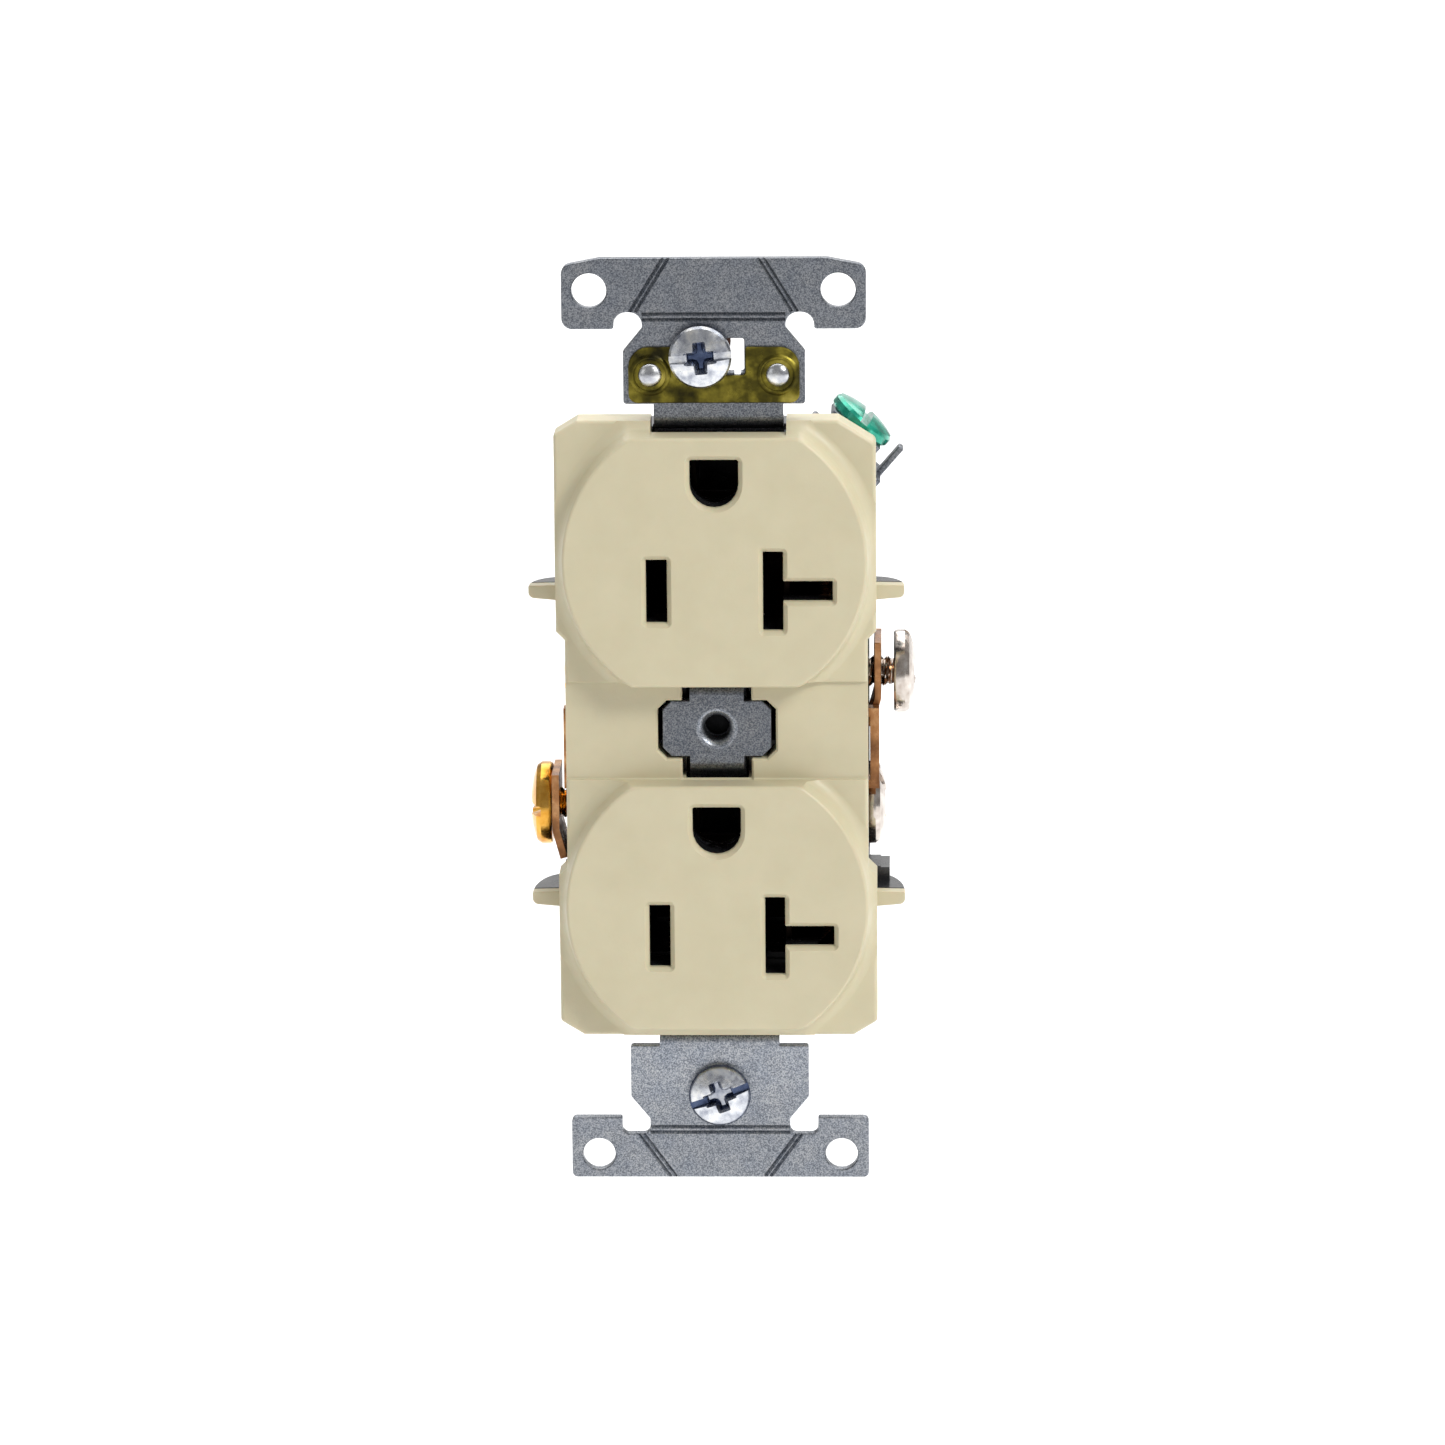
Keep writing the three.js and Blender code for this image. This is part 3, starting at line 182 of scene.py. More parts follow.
def surface(name, colour, roughness, metallic=0.0, **sockets):
    """A material with its shader's plain values set, and its node tree to add to."""
    made = bpy.data.materials.new(name)
    made.use_nodes = True
    shader = made.node_tree.nodes["Principled BSDF"]
    shader.inputs["Base Color"].default_value = (*colour, 1)
    shader.inputs["Roughness"].default_value = roughness
    shader.inputs["Metallic"].default_value = metallic
    for socket, value in sockets.items():
        shader.inputs[socket.replace("_", " ")].default_value = value
    return made, made.node_tree, shader


def grain(tree, scale, detail=3.0, stretch=(1, 1, 1)):
    """Noise over the piece's own coordinates, in steps of about one over scale, in metres."""
    place = tree.nodes.new("ShaderNodeTexCoord")
    mapping = tree.nodes.new("ShaderNodeMapping")
    mapping.inputs["Scale"].default_value = stretch
    noise = tree.nodes.new("ShaderNodeTexNoise")
    noise.inputs["Scale"].default_value = scale
    noise.inputs["Detail"].default_value = detail
    tree.links.new(place.outputs["Object"], mapping.inputs["Vector"])
    tree.links.new(mapping.outputs["Vector"], noise.inputs["Vector"])
    return noise.outputs["Fac"]


def ramp(tree, value, stops):
    """Colour ramp over a value: stops are (position, (r, g, b)) or (position, grey)."""
    made = tree.nodes.new("ShaderNodeValToRGB")
    made.color_ramp.elements.remove(made.color_ramp.elements[-1])
    for k, (position, colour) in enumerate(stops):
        stop = made.color_ramp.elements[0] if k == 0 else made.color_ramp.elements.new(position)
        stop.position = position
        stop.color = (*colour, 1) if isinstance(colour, tuple) else (colour, colour, colour, 1)
    tree.links.new(value, made.inputs["Fac"])
    return made.outputs["Color"]


def bumped(tree, shader, height, depth):
    """Fine relief of that depth in metres on the shader."""
    bump = tree.nodes.new("ShaderNodeBump")
    bump.inputs["Strength"].default_value = 1.0
    bump.inputs["Distance"].default_value = depth
    tree.links.new(height, bump.inputs["Height"])
    tree.links.new(bump.outputs["Normal"], shader.inputs["Normal"])


COVER_LOW, COVER_HIGH = millimetres("front_cover")
COVER_HALF_WIDTH = 17.55
COVER_END = COVER_HIGH[2]
FACE_FRONT = COVER_LOW[1]
SHOULDER = -2.3
BAND = -1.9
FACE_Z = 19.4
FACE_RADIUS = 16.65
FACE_FLAT = 13.85
WAIST_HALF = 16.6
WAIST = (-16.3, 11.1)
SLOT_DROP = 3.16
BLADE_X = 6.35
GROUND_RISE = 11.9
GROUND_RADIUS = 2.65
FINS = {"upper": 14.95, "lower": -19.75}
FIN_HALF = 0.95
FIN_TIP = (-0.55, 0.85)
FIN_REACH = 3.1
FIN_FRONT = 0.2
FIN_BACK = {"upper": 4.6, "lower": 8.3}


def shell_corners(half_width, half_length, inner, left, right):
    """Front view of the shell: corners chamfered by (across, along), sides stepped in at the waist."""
    step = half_width - inner
    return [
        (left[0] - half_width, -half_length, 0.5), (half_width - left[0], -half_length, 0.5),
        (half_width, left[1] - half_length, 0.5), (half_width, WAIST[0], 0.2),
        (inner, WAIST[0] + step, 0.3), (inner, WAIST[1] - step, 0.3), (half_width, WAIST[1], 0.2),
        (half_width, half_length - right[1], 0.8), (half_width - right[0], half_length, 0.8),
        (left[0] - half_width, half_length, 0.5), (-half_width, half_length - left[1], 0.5),
        (-half_width, WAIST[1], 0.2), (-inner, WAIST[1] - step, 0.3), (-inner, WAIST[0] + step, 0.3),
        (-half_width, WAIST[0], 0.2), (-half_width, left[1] - half_length, 0.5),
    ]


def face_outline(z, size=FACE_RADIUS, height=FACE_FLAT):
    """Outline of a face about height z: a circle with a flat above and below, both moved by grow.
    The angle runs evenly along the arcs, and the flats lie between their ends."""
    def outline(grow):
        radius, flat = size + grow, height + grow
        end = math.asin(flat / radius)
        angle = np.linspace(-end, end, 57)
        right = np.stack([radius * np.cos(angle), radius * np.sin(angle)], 1)
        corner = np.abs(right[:, 1]) > flat - 0.02
        right[corner, 0] -= 0.15
        return np.concatenate([right, -right]) + (0, z)
    return outline


def slot_shapes(z):
    """The three openings of a face whose blade slots lie at height z, as corner lists: the hot slot,
    the neutral slot with its cross arm, and the ground hole with a round lower half."""
    ground = z + GROUND_RISE
    r = GROUND_RADIUS
    tee = [
        (5.25, -4.375), (7.45, -4.375), (7.45, -1.1), (12.85, -1.1), (12.85, 1.1), (7.45, 1.1),
        (7.45, 4.375), (5.25, 4.375),
    ]
    return [
        rectangle((-BLADE_X - 1.15, -BLADE_X + 1.15), (z - 3.5, z + 3.5), 0.12),
        [(x, z + rise, 0.12) for x, rise in tee],
        [(-r, ground - r, r - 0.01), (r, ground - r, r - 0.01), (r, ground + r, 0.25),
         (-r, ground + r, 0.25)],
    ]


def outlined(corners, sides=6):
    """The closed outline of fixed corners, as a function of how far it is grown."""
    return lambda grow: ring(corners, grow, sides)


PAD_CORNERS = [
    (-6.5, -2.3), (-5.5, -3.3), (-3.82, -3.3), (-3.82, -5.45), (3.82, -5.45), (3.82, -3.3), (5.5, -3.3),
    (6.5, -2.3), (6.5, 2.3), (5.5, 3.3), (3.82, 3.3), (3.82, 5.45), (-3.82, 5.45), (-3.82, 3.3),
    (-5.5, 3.3), (-6.5, 2.3),
]
plate_corners = shell_corners(COVER_HALF_WIDTH, COVER_END, WAIST_HALF, (2.6, 1.6), (4.1, 2.6))
plate_profile = round_edge(0.45, SHOULDER) + [(0, COVER_HIGH[1] - 0.2), (-0.2, COVER_HIGH[1])]
cover = skin("front_cover_moulding", stacked(outlined(plate_corners), plate_profile))

face_profile = (
    round_edge(0.38, FACE_FRONT) + [(0.12, -4.6), (0.25, -3.95)] + cove(1.6, 0.28, SHOULDER + 0.02)
    + [(1.95, -1.2)])
faces = [skin("face", stacked(face_outline(z), face_profile)) for z in (FACE_Z, -FACE_Z)]
for face in faces:
    bounds_profile = [(-0.02, FACE_FRONT - 1), (-0.02, 0.0)]
    combined(face, [skin("within", stacked(outlined(plate_corners), bounds_profile))], "INTERSECT")


def fin(side, level, low, high):
    """Slice between two depths of a fin: in plan a quarter ellipse, widest at the front, kept within
    a front view that tapers to its tip."""
    height, root = FINS[level], side * (COVER_HALF_WIDTH - 1.5)
    angle = np.linspace(0, math.pi / 2, 13)
    arc = np.stack([
        side * (COVER_HALF_WIDTH + FIN_REACH * np.cos(angle)),
        FIN_FRONT + (FIN_BACK[level] - FIN_FRONT) * np.sin(angle), np.full(13, 0.01)], 1)
    plan = np.concatenate([[(root, FIN_FRONT, 0.01)], arc, [(root, FIN_BACK[level], 0.01)]])
    tip = side * (COVER_HALF_WIDTH + FIN_REACH)
    face = np.array([
        (root, height - FIN_HALF, 0.01), (tip, height + FIN_TIP[0], 0.7), (tip, height + FIN_TIP[1], 0.25),
        (root, height + FIN_HALF, 0.01)])
    whole = skin("fin", stacked(outlined(plan[::side], 1), [(0, height - 1), (0, height + 1)], (0, 1, 2)))
    edges = [(-0.16, low), (-0.04, low + 0.06), (0, low + 0.18), (0, high - 0.12), (-0.12, high)]
    return combined(whole, [skin("taper", stacked(outlined(face[::side]), edges))], "INTERSECT")


fins = [fin(side, level, FIN_FRONT, COVER_HIGH[1]) for side in (-1, 1) for level in FINS]
combined(cover, faces + fins, "UNION")

band_edge = FACE_Z - FACE_FLAT
band_cut = rectangle((-30, 30), (-band_edge + 0.02, band_edge - 0.02), 0.02)
cuts = [skin("band", stacked(outlined(band_cut), [(0, FACE_FRONT - 1), (0, BAND - 0.15), (-0.15, BAND)]))]
rim = [(0.62, FACE_FRONT - 0.5), (0.5, FACE_FRONT), (0.1, FACE_FRONT + 0.42), (0, FACE_FRONT + 0.6),
       (0, COVER_HIGH[1] + 1)]
for face_z in (FACE_Z, -FACE_Z):
    cuts += [skin("slot", stacked(outlined(shape), rim)) for shape in slot_shapes(face_z - SLOT_DROP)]
    recess = face_outline(face_z, 13.85, 11.75)
    cuts.append(skin("recess", stacked(recess, [(0, FACE_FRONT + 1.0), (0, COVER_HIGH[1] + 2)])))
pad_shape = [(x, z, 0.15) for x, z in PAD_CORNERS]
pad_rim = [(0.35, BAND - 0.5), (0.22, BAND), (0.0, BAND + 0.25), (0, COVER_HIGH[1] + 1)]
cuts.append(skin("pad_opening", stacked(outlined(pad_shape), pad_rim)))
for x, y, z in (
    ((-3.45, 3.45), (-1.52, 4), (-8.1, 8.1)),
    ((-6.95, 7.85), (-7, 4), (33.3, 37)),
    ((-6.95, 7.85), (-1.97, 4), (31.0, 37)),
    ((-7.0, 7.0), (-1.52, 4), (-37, -32.25)),
):
    cuts.append(skin("strap_way", stacked(outlined(rectangle(x, z, 0.2)), [(0, y[0]), (0, y[1])])))
combined(cover, cuts, "DIFFERENCE")

ivory, tree, shader = surface(
    "ivory_moulding", (0.53, 0.478, 0.325), 0.42, Subsurface_Weight=0.12, Subsurface_Scale=0.001,
    Specular_IOR_Level=0.45)
tree.links.new(
    ramp(tree, grain(tree, 260, 4), [(0.3, (0.515, 0.463, 0.312)), (0.7, (0.545, 0.493, 0.338))]),
    shader.inputs["Base Color"])
tree.links.new(ramp(tree, grain(tree, 900, 4), [(0.3, 0.38), (0.7, 0.48)]), shader.inputs["Roughness"])
bumped(tree, shader, grain(tree, 2600, 2), 0.000012)
finished(cover, ivory, "ivory_plastic", "root", ["front_cover"])


# ---------------------------------------------------------------------------------------------
# Back body: a deep tub in glossy black thermoplastic that holds the contacts, with side pockets
# for the terminals, wire holes in its back and fins behind the cover's fins, and a slotted insert
# of the same black behind each face. Their edges are eased by the mould.

def eased(node, material, width, crease=30.0):
    """Keeps a CAD node and rounds its edges: its triangles are welded, flat ones made one face, and
    every edge sharper than the crease is bevelled by width in millimetres."""
    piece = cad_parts[node]
    weld = piece.modifiers.new("weld", "WELD")
    weld.merge_threshold = 2e-6
    flat = piece.modifiers.new("flat", "DECIMATE")
    flat.decimate_type, flat.angle_limit = "DISSOLVE", math.radians(0.8)
    round_off = piece.modifiers.new("round", "BEVEL")
    round_off.width, round_off.segments = width * 0.001, 3
    round_off.limit_method, round_off.angle_limit = "ANGLE", math.radians(crease)
    round_off.use_clamp_overlap = True
    even = piece.modifiers.new("even", "WEIGHTED_NORMAL")
    even.weight = 80
    piece.data.polygons.foreach_set("use_smooth", np.ones(len(piece.data.polygons), bool))
    piece.data.materials.clear()
    piece.data.materials.append(material)
    return piece


black, tree, shader = surface("black_moulding", (0.012, 0.012, 0.013), 0.2, Specular_IOR_Level=0.6)
tree.links.new(
    ramp(tree, grain(tree, 180, 3), [(0.3, (0.010, 0.010, 0.011)), (0.75, (0.019, 0.019, 0.021))]),
    shader.inputs["Base Color"])
tree.links.new(ramp(tree, grain(tree, 420, 5), [(0.3, 0.16), (0.7, 0.3)]), shader.inputs["Roughness"])
bumped(tree, shader, grain(tree, 500, 3), 0.00002)
eased("back_body", black, 0.22)
for node in ("slot_insert_upper", "slot_insert_lower"):
    eased(node, black, 0.1)


# ---------------------------------------------------------------------------------------------
# Mounting strap: one stamping of zinc-plated steel. Its ears bear on the wall, its neck bends
# back into the body at both ends, and its middle comes forward to a tapped pad for the wall
# plate. Scored lines let the outer parts of the ears be snapped off.

STRAP_THICKNESS = 1.27
SCREW_Z = 41.65
RUN_FRONT = 2.0
RUN_BACK = RUN_FRONT + STRAP_THICKNESS
middle = -STRAP_THICKNESS / 2
run = (RUN_FRONT + RUN_BACK) / 2
EAR_HALF = 16.55
EAR_HOLE_X = 13.52
NOTCH_X = (7.8, 10.9)
EARS = (
    # up or down, outer edge, slope at its corners, inner edge, notch's depth and radius, hole's
    # height and radius, shoulder, the neck's two sides, height of its bend
    (1, 52.3, 0.8, 44.5, 46.35, 1.4, (48.75, 1.9), 36.25, (-6.6, 7.5), 34.4),
    (-1, 51.4, 0.0, 44.45, 46.35, 0.75, (48.7, 1.8), 36.15, (-6.65, 6.65), 35.3),
)
SCORE_Z = 45.85
SCORE_SPACING = 0.62
BEND_DROP = 0.9
sheet_edges = [
    (-0.16, -STRAP_THICKNESS), (-0.05, 0.05 - STRAP_THICKNESS), (0, 0.2 - STRAP_THICKNESS), (0, -0.08),
    (-0.08, 0)]


def ear_corners(up, edge, slope, inner, notch, notch_radius, shoulder):
    """Outline of an ear plate, its right half given from the outer edge down and mirrored."""
    corner = 1.2 if slope else 0.6
    right = [
        (12.35, edge, 0.5), (EAR_HALF, edge - slope, corner), (EAR_HALF, inner, corner),
        (NOTCH_X[1], inner, 0.25), (NOTCH_X[1], notch, notch_radius), (NOTCH_X[0], notch, notch_radius),
        (NOTCH_X[0], 44.6, 0.3), (9.9, 42.05, 0.4), (9.9, shoulder, 0.35),
    ]
    if not slope:
        right = right[1:]
    half = np.array(right) * (1, up, 1)
    other = half[::-1] * (-1, 1, 1)
    loop = np.concatenate([half, other])
    return loop[::-1] if up > 0 else loop


def circle(u, v, radius, sides=48):
    """Outline of a circle whose radius is moved by grow."""
    def outline(grow):
        angle = np.linspace(0, 2 * math.pi, sides, endpoint=False)
        return np.stack([u + (radius + grow) * np.cos(angle), v + (radius + grow) * np.sin(angle)], 1)
    return outline


def bent_band(route, thickness, span, bend=1.3, sides=8):
    """Sheet that follows a route of (y, z) corners, across the x span: the route's bends are arcs, and
    the sheet's two faces lie half its thickness either side of it."""
    route = np.array(route, float)
    into = np.diff(route, axis=0)
    into /= np.linalg.norm(into, axis=1, keepdims=True)
    before, after = into[:-1], into[1:]
    turn = np.arctan2(before[:, 0] * after[:, 1] - before[:, 1] * after[:, 0], (before * after).sum(1))
    reach = (bend * np.tan(abs(turn) / 2))[:, None]
    normal = np.stack([-before[:, 1], before[:, 0]], 1) * np.sign(turn)[:, None]
    centre = route[1:-1] - before * reach + normal * bend
    angle = (turn[:, None] * np.linspace(0, 1, sides + 1))[..., None]
    spoke = -normal[:, None] * bend
    swung = np.concatenate([
        spoke[..., :1] * np.cos(angle) - spoke[..., 1:] * np.sin(angle),
        spoke[..., :1] * np.sin(angle) + spoke[..., 1:] * np.cos(angle)], -1)
    line = np.concatenate([route[:1], (centre[:, None] + swung).reshape(-1, 2), route[-1:]])
    slope = np.gradient(line, axis=0)
    slope /= np.linalg.norm(slope, axis=1, keepdims=True)
    side = np.stack([-slope[:, 1], slope[:, 0]], 1) * thickness / 2
    loop = np.concatenate([line + side, (line - side)[::-1]])
    levels = np.array(span, float)
    grid = np.stack([np.c_[loop, np.full(len(loop), level)] for level in levels])
    return grid[:, :, [2, 0, 1]]


def groove(start, end, y, width=0.42):
    """Diamond bar along a scored line between two (x, z) points on the sheet's face at y."""
    start, end = np.array(start, float), np.array(end, float)
    along = (end - start) / np.linalg.norm(end - start)
    across = np.array([-along[1], along[0]]) * width / 2
    rows = [
        [(*(p + across), y), (*p, y - width * 0.6), (*(p - across), y), (*p, y + width * 0.6)]
        for p in (start, end)]
    return np.array(rows)[:, :, [0, 2, 1]]


strap_parts, strap_cuts = [], []
for ear in EARS:
    up, edge, slope, inner, notch, notch_radius, (hole_z, hole_radius), shoulder, neck, bend = ear
    plate = ear_corners(up, edge, slope, inner, notch, notch_radius, shoulder)
    strap_parts.append(skin("ear", stacked(outlined(plate), sheet_edges)))
    route = [
        (middle, up * (shoulder + 0.5)), (middle, up * bend), (run, up * (bend - BEND_DROP)),
        (run, up * 31.0)]
    strap_parts.append(skin("neck", bent_band(route, STRAP_THICKNESS, neck, 0.75)))
    strap_cuts += [
        skin("ear_hole", stacked(circle(side * EAR_HOLE_X, up * hole_z, hole_radius),
                                 [(0.14, -2), (0.12, -1.27), (0, -1.12), (0, 1)]))
        for side in (-1, 1)]
    lines = [((-NOTCH_X[0], SCORE_Z), (NOTCH_X[0], SCORE_Z))]
    lines += [((side * 8.8, 46.4), (side * 5.05, edge + 0.2)) for side in (-1, 1)]
    for (x0, z0), (x1, z1) in lines:
        for shift in (-SCORE_SPACING / 2, SCORE_SPACING / 2):
            lift = (0, shift) if z0 == z1 else (shift, 0)
            strap_cuts.append(skin("score", groove(
                (x0 + lift[0], up * (z0 + lift[1])), (x1 + lift[0], up * (z1 + lift[1])), -STRAP_THICKNESS)))

inner_run = [
    (-6.6, 20.9), (-3.2, 20.9), (-3.2, -7.9), (-6.65, -7.9), (-6.65, -17.7), (-3.2, -17.7), (-3.2, -28.1),
    (-6.65, -28.1), (-6.65, -31.7), (6.65, -31.7), (6.65, -28.1), (3.2, -28.1), (3.2, -17.7), (6.65, -17.7),
    (6.65, -7.9), (3.2, -7.9), (3.2, 20.9), (7.5, 20.9), (7.5, 31.7), (-6.6, 31.7),
]
flat_run = [(-0.1, RUN_FRONT), (0, RUN_FRONT + 0.1), (0, RUN_BACK - 0.1), (-0.1, RUN_BACK)]
run_shape = [(x, z, 0.2) for x, z in inner_run]
strap_parts.append(skin("run", stacked(outlined(run_shape, 3), flat_run)))
pad_route = [(run, 10.2), (run, 7.4), (middle, 4.1), (middle, -4.1), (run, -7.4), (run, -10.2)]
strap_parts.append(skin("pad_neck", bent_band(pad_route, STRAP_THICKNESS, (-2.97, 2.97), 1.0)))
pad_plate = [
    (-6.0, -2.15), (-5.0, -3.15), (5.0, -3.15), (6.0, -2.15), (6.0, 2.15), (5.0, 3.15), (-5.0, 3.15),
    (-6.0, 2.15)]
strap_parts.append(skin("pad", stacked(outlined([(x, z, 0.2) for x, z in pad_plate]), sheet_edges)))
strap_parts.append(skin("collar", stacked(circle(0, 0, 2.2), [(0, -0.6), (0, 0.9), (-0.2, 1.3)])))
strap_cuts.append(skin("plate_screw_hole", stacked(
    circle(0, 0, 1.4), [(0.95, -2), (0.85, -1.3), (0.5, -1.12), (0.18, -0.85), (0, -0.45), (0, 2)])))

# The ground tab stands on a wing of the run, turned up and out, with a stop at its end.
GROUND_TURN = math.radians(49)
GROUND_CENTRE = np.array([16.2, 7.0, 33.2])
ground_out = np.array([math.cos(GROUND_TURN), 0, math.sin(GROUND_TURN)])
ground_along = np.array([math.sin(GROUND_TURN), 0, -math.cos(GROUND_TURN)])
TAB_FACE = -3.5
TAB_BACK = TAB_FACE - STRAP_THICKNESS


def on_tab(grid):
    """A grid drawn as (along the tab, into the body, out of the tab) brought to its place."""
    return GROUND_CENTRE + grid @ np.array([ground_along, (0, 1, 0), ground_out])


def tab_point(a, c):
    """The (x, z) of a point a along the tab and c out of it."""
    place = GROUND_CENTRE + a * ground_along + c * ground_out
    return place[0], place[2]


wing = [
    (6.5, 24.9), (11.4, 24.9), (12.4, 26.0), tab_point(4.55, TAB_FACE - 2.5), tab_point(4.55, TAB_FACE - 0.3),
    tab_point(-4.2, TAB_FACE - 0.3), (6.5, 32.4)]
strap_parts.append(skin("wing", stacked(outlined([(x, z, 0.2) for x, z in wing], 3), flat_run)))
tab_edges = [(-0.12, TAB_BACK), (0, TAB_BACK + 0.12), (0, TAB_FACE - 0.15), (-0.15, TAB_FACE)]
TAB_END = 5.55
strap_parts.append(skin("tab", on_tab(stacked(
    outlined(rectangle((-4.2, TAB_END), (-4.98, 4.2), 0.5)), tab_edges, (0, 1, 2)))))
lip_edges = [(-0.1, TAB_BACK), (0, TAB_BACK + 0.1), (0, TAB_FACE + 3.65), (-0.15, TAB_FACE + 3.8)]
strap_parts.append(skin("lip", on_tab(stacked(
    outlined(rectangle((4.9, TAB_END), (-1.0, 1.0), 0.12)), lip_edges, (0, 1, 2)))))
strap_cuts.append(skin("ground_hole", on_tab(stacked(circle(0, 0, 1.78), [(0, -8), (0, 0)], (0, 1, 2)))))

through = [(0.08, -3), (0.06, -1.27), (0, -1.15), (0, 5)]
slot_corners = rectangle((-3.3, 3.3), (39.8, 43.5), 0.3)
strap_cuts.append(skin("screw_slot", stacked(outlined(slot_corners), through)))
strap_cuts.append(skin("slot_nick", stacked(outlined(rectangle((2.2, 2.9), (39.35, 41), 0.1)), through)))
strap_cuts.append(skin("screw_hole", stacked(circle(0, -SCREW_Z, 1.9), through)))
GROUND_Z = [FACE_Z - SLOT_DROP + GROUND_RISE, -FACE_Z - SLOT_DROP + GROUND_RISE]
for z in GROUND_Z:
    strap_cuts.append(skin("pin_way", stacked(circle(0, z, 3.3), [(0, -3), (0, 5)])))
    strap_cuts.append(skin("rivet_hole", stacked(circle(0, z - 5.2, 1.15), [(0, -3), (0, 5)])))
RIVET_X, RIVET_Z = 6.95, 39.55
for x in (-RIVET_X, RIVET_X):
    strap_cuts.append(skin("clip_hole", stacked(circle(x, RIVET_Z, 0.95), [(0, -3), (0, 1.8)])))
strap = combined(strap_parts[0], strap_parts[1:], "UNION")
combined(strap, strap_cuts, "DIFFERENCE")


def multiplied(tree, first, second):
    """Product of two colours."""
    made = tree.nodes.new("ShaderNodeMix")
    made.data_type, made.blend_type = "RGBA", "MULTIPLY"
    made.inputs["Factor"].default_value = 1.0
    tree.links.new(first, made.inputs["A"])
    tree.links.new(second, made.inputs["B"])
    return made.outputs["Result"]


def distance(tree, scale):
    """Length of a point's coordinates, in metres, after they are multiplied by scale."""
    place = tree.nodes.new("ShaderNodeTexCoord")
    mapping = tree.nodes.new("ShaderNodeMapping")
    mapping.inputs["Scale"].default_value = scale
    length = tree.nodes.new("ShaderNodeVectorMath")
    length.operation = "LENGTH"
    tree.links.new(place.outputs["Object"], mapping.inputs["Vector"])
    tree.links.new(mapping.outputs["Vector"], length.inputs[0])
    return length.outputs["Value"]


def along_axis(tree, axis, low, high):
    """Place along an axis of the piece: 0 at low and 1 at high, in metres."""
    place = tree.nodes.new("ShaderNodeTexCoord")
    split = tree.nodes.new("ShaderNodeSeparateXYZ")
    spread = tree.nodes.new("ShaderNodeMapRange")
    spread.inputs["From Min"].default_value, spread.inputs["From Max"].default_value = low, high
    tree.links.new(place.outputs["Object"], split.inputs["Vector"])
    tree.links.new(split.outputs[axis], spread.inputs["Value"])
    return spread.outputs["Result"]


zinc, tree, shader = surface("zinc_plating", (0.3, 0.32, 0.36), 0.4, 0.9)
speckle = grain(tree, 7000, 3, (1, 0.3, 1))
patch = grain(tree, 420, 3, (1, 0.3, 1))
flakes = ramp(
    tree, speckle,
    [(0.36, (0.19, 0.205, 0.235)), (0.5, (0.36, 0.38, 0.415)), (0.64, (0.58, 0.59, 0.61))])
cloudy = multiplied(tree, flakes, ramp(tree, patch, [(0.3, (0.82, 0.85, 0.9)), (0.7, (1.0, 1.0, 1.0))]))
# Brightness changes with height along the strap: lightest over the lower ear, darkest about the middle,
# somewhat lighter over the upper ear.
height_tone = ramp(
    tree, along_axis(tree, "Z", -0.052, 0.052),
    [(0.05, 0.72), (0.15, 0.95), (0.3, 0.8), (0.48, 0.44), (0.8, 0.5), (0.92, 0.57)])
bright = multiplied(tree, cloudy, height_tone)
# Painted shade and highlight round the pad's tapped hole: nearly black inside the hole, then a ring on its
# flare brightened well past the plating's own tone.
hole = ramp(tree, distance(tree, (100, 0, 100)), [(0.135, 0.02), (0.15, 1.8), (0.215, 1.8), (0.235, 1.0)])
tree.links.new(multiplied(tree, bright, hole), shader.inputs["Base Color"])
tree.links.new(ramp(tree, grain(tree, 1800, 4), [(0.3, 0.3), (0.7, 0.48)]), shader.inputs["Roughness"])
bumped(tree, shader, grain(tree, 3000, 3), 0.00002)
finished(strap, zinc, "galvanised_steel", "root", ["mounting_strap"])


# ---------------------------------------------------------------------------------------------
# Self-grounding clip: a thin brass spring behind the upper mounting screw's head, darkened
# unevenly, with a pressed ring round each of the two small rivets that hold it to the strap.

CLIP_FRONT, CLIP_BACK = -1.72, -1.29
clip_shape = [
    (-9.3, 36.45, 1.0), (9.3, 36.45, 1.0), (9.3, 42.6, 2.2), (3.4, 42.6, 0.3), (3.4, 39.5, 0.4),
    (-3.5, 39.5, 0.4), (-3.5, 42.6, 0.3), (-9.3, 42.6, 2.2)]
clip_edges = [(-0.1, CLIP_FRONT), (0, CLIP_FRONT + 0.1), (0, CLIP_BACK)]
clip = skin("grounding_clip", stacked(outlined(clip_shape), clip_edges))
pressed = [
    (0, -1.6), (1.65, -1.6), (1.72, -1.74), (1.8, -1.86), (1.95, -1.92), (2.15, -1.86), (2.3, -1.72),
    (2.35, -1.5), (0, -1.5)]


def turned(profile, place, sides=48, axes=(0, 2, 1)):
    """Surface of revolution about an axis through place: profile's pairs (radius, level) turned
    all round. axes says which of x, y, z the two sides and the level are."""
    angle = np.linspace(0, 2 * math.pi, sides, endpoint=False)
    radius, level = np.array(profile, float).T
    grid = np.stack([
        radius[:, None] * np.cos(angle), radius[:, None] * np.sin(angle),
        np.repeat(level[:, None], sides, 1)], 2)
    return grid[:, :, np.argsort(axes)] + np.array(place)


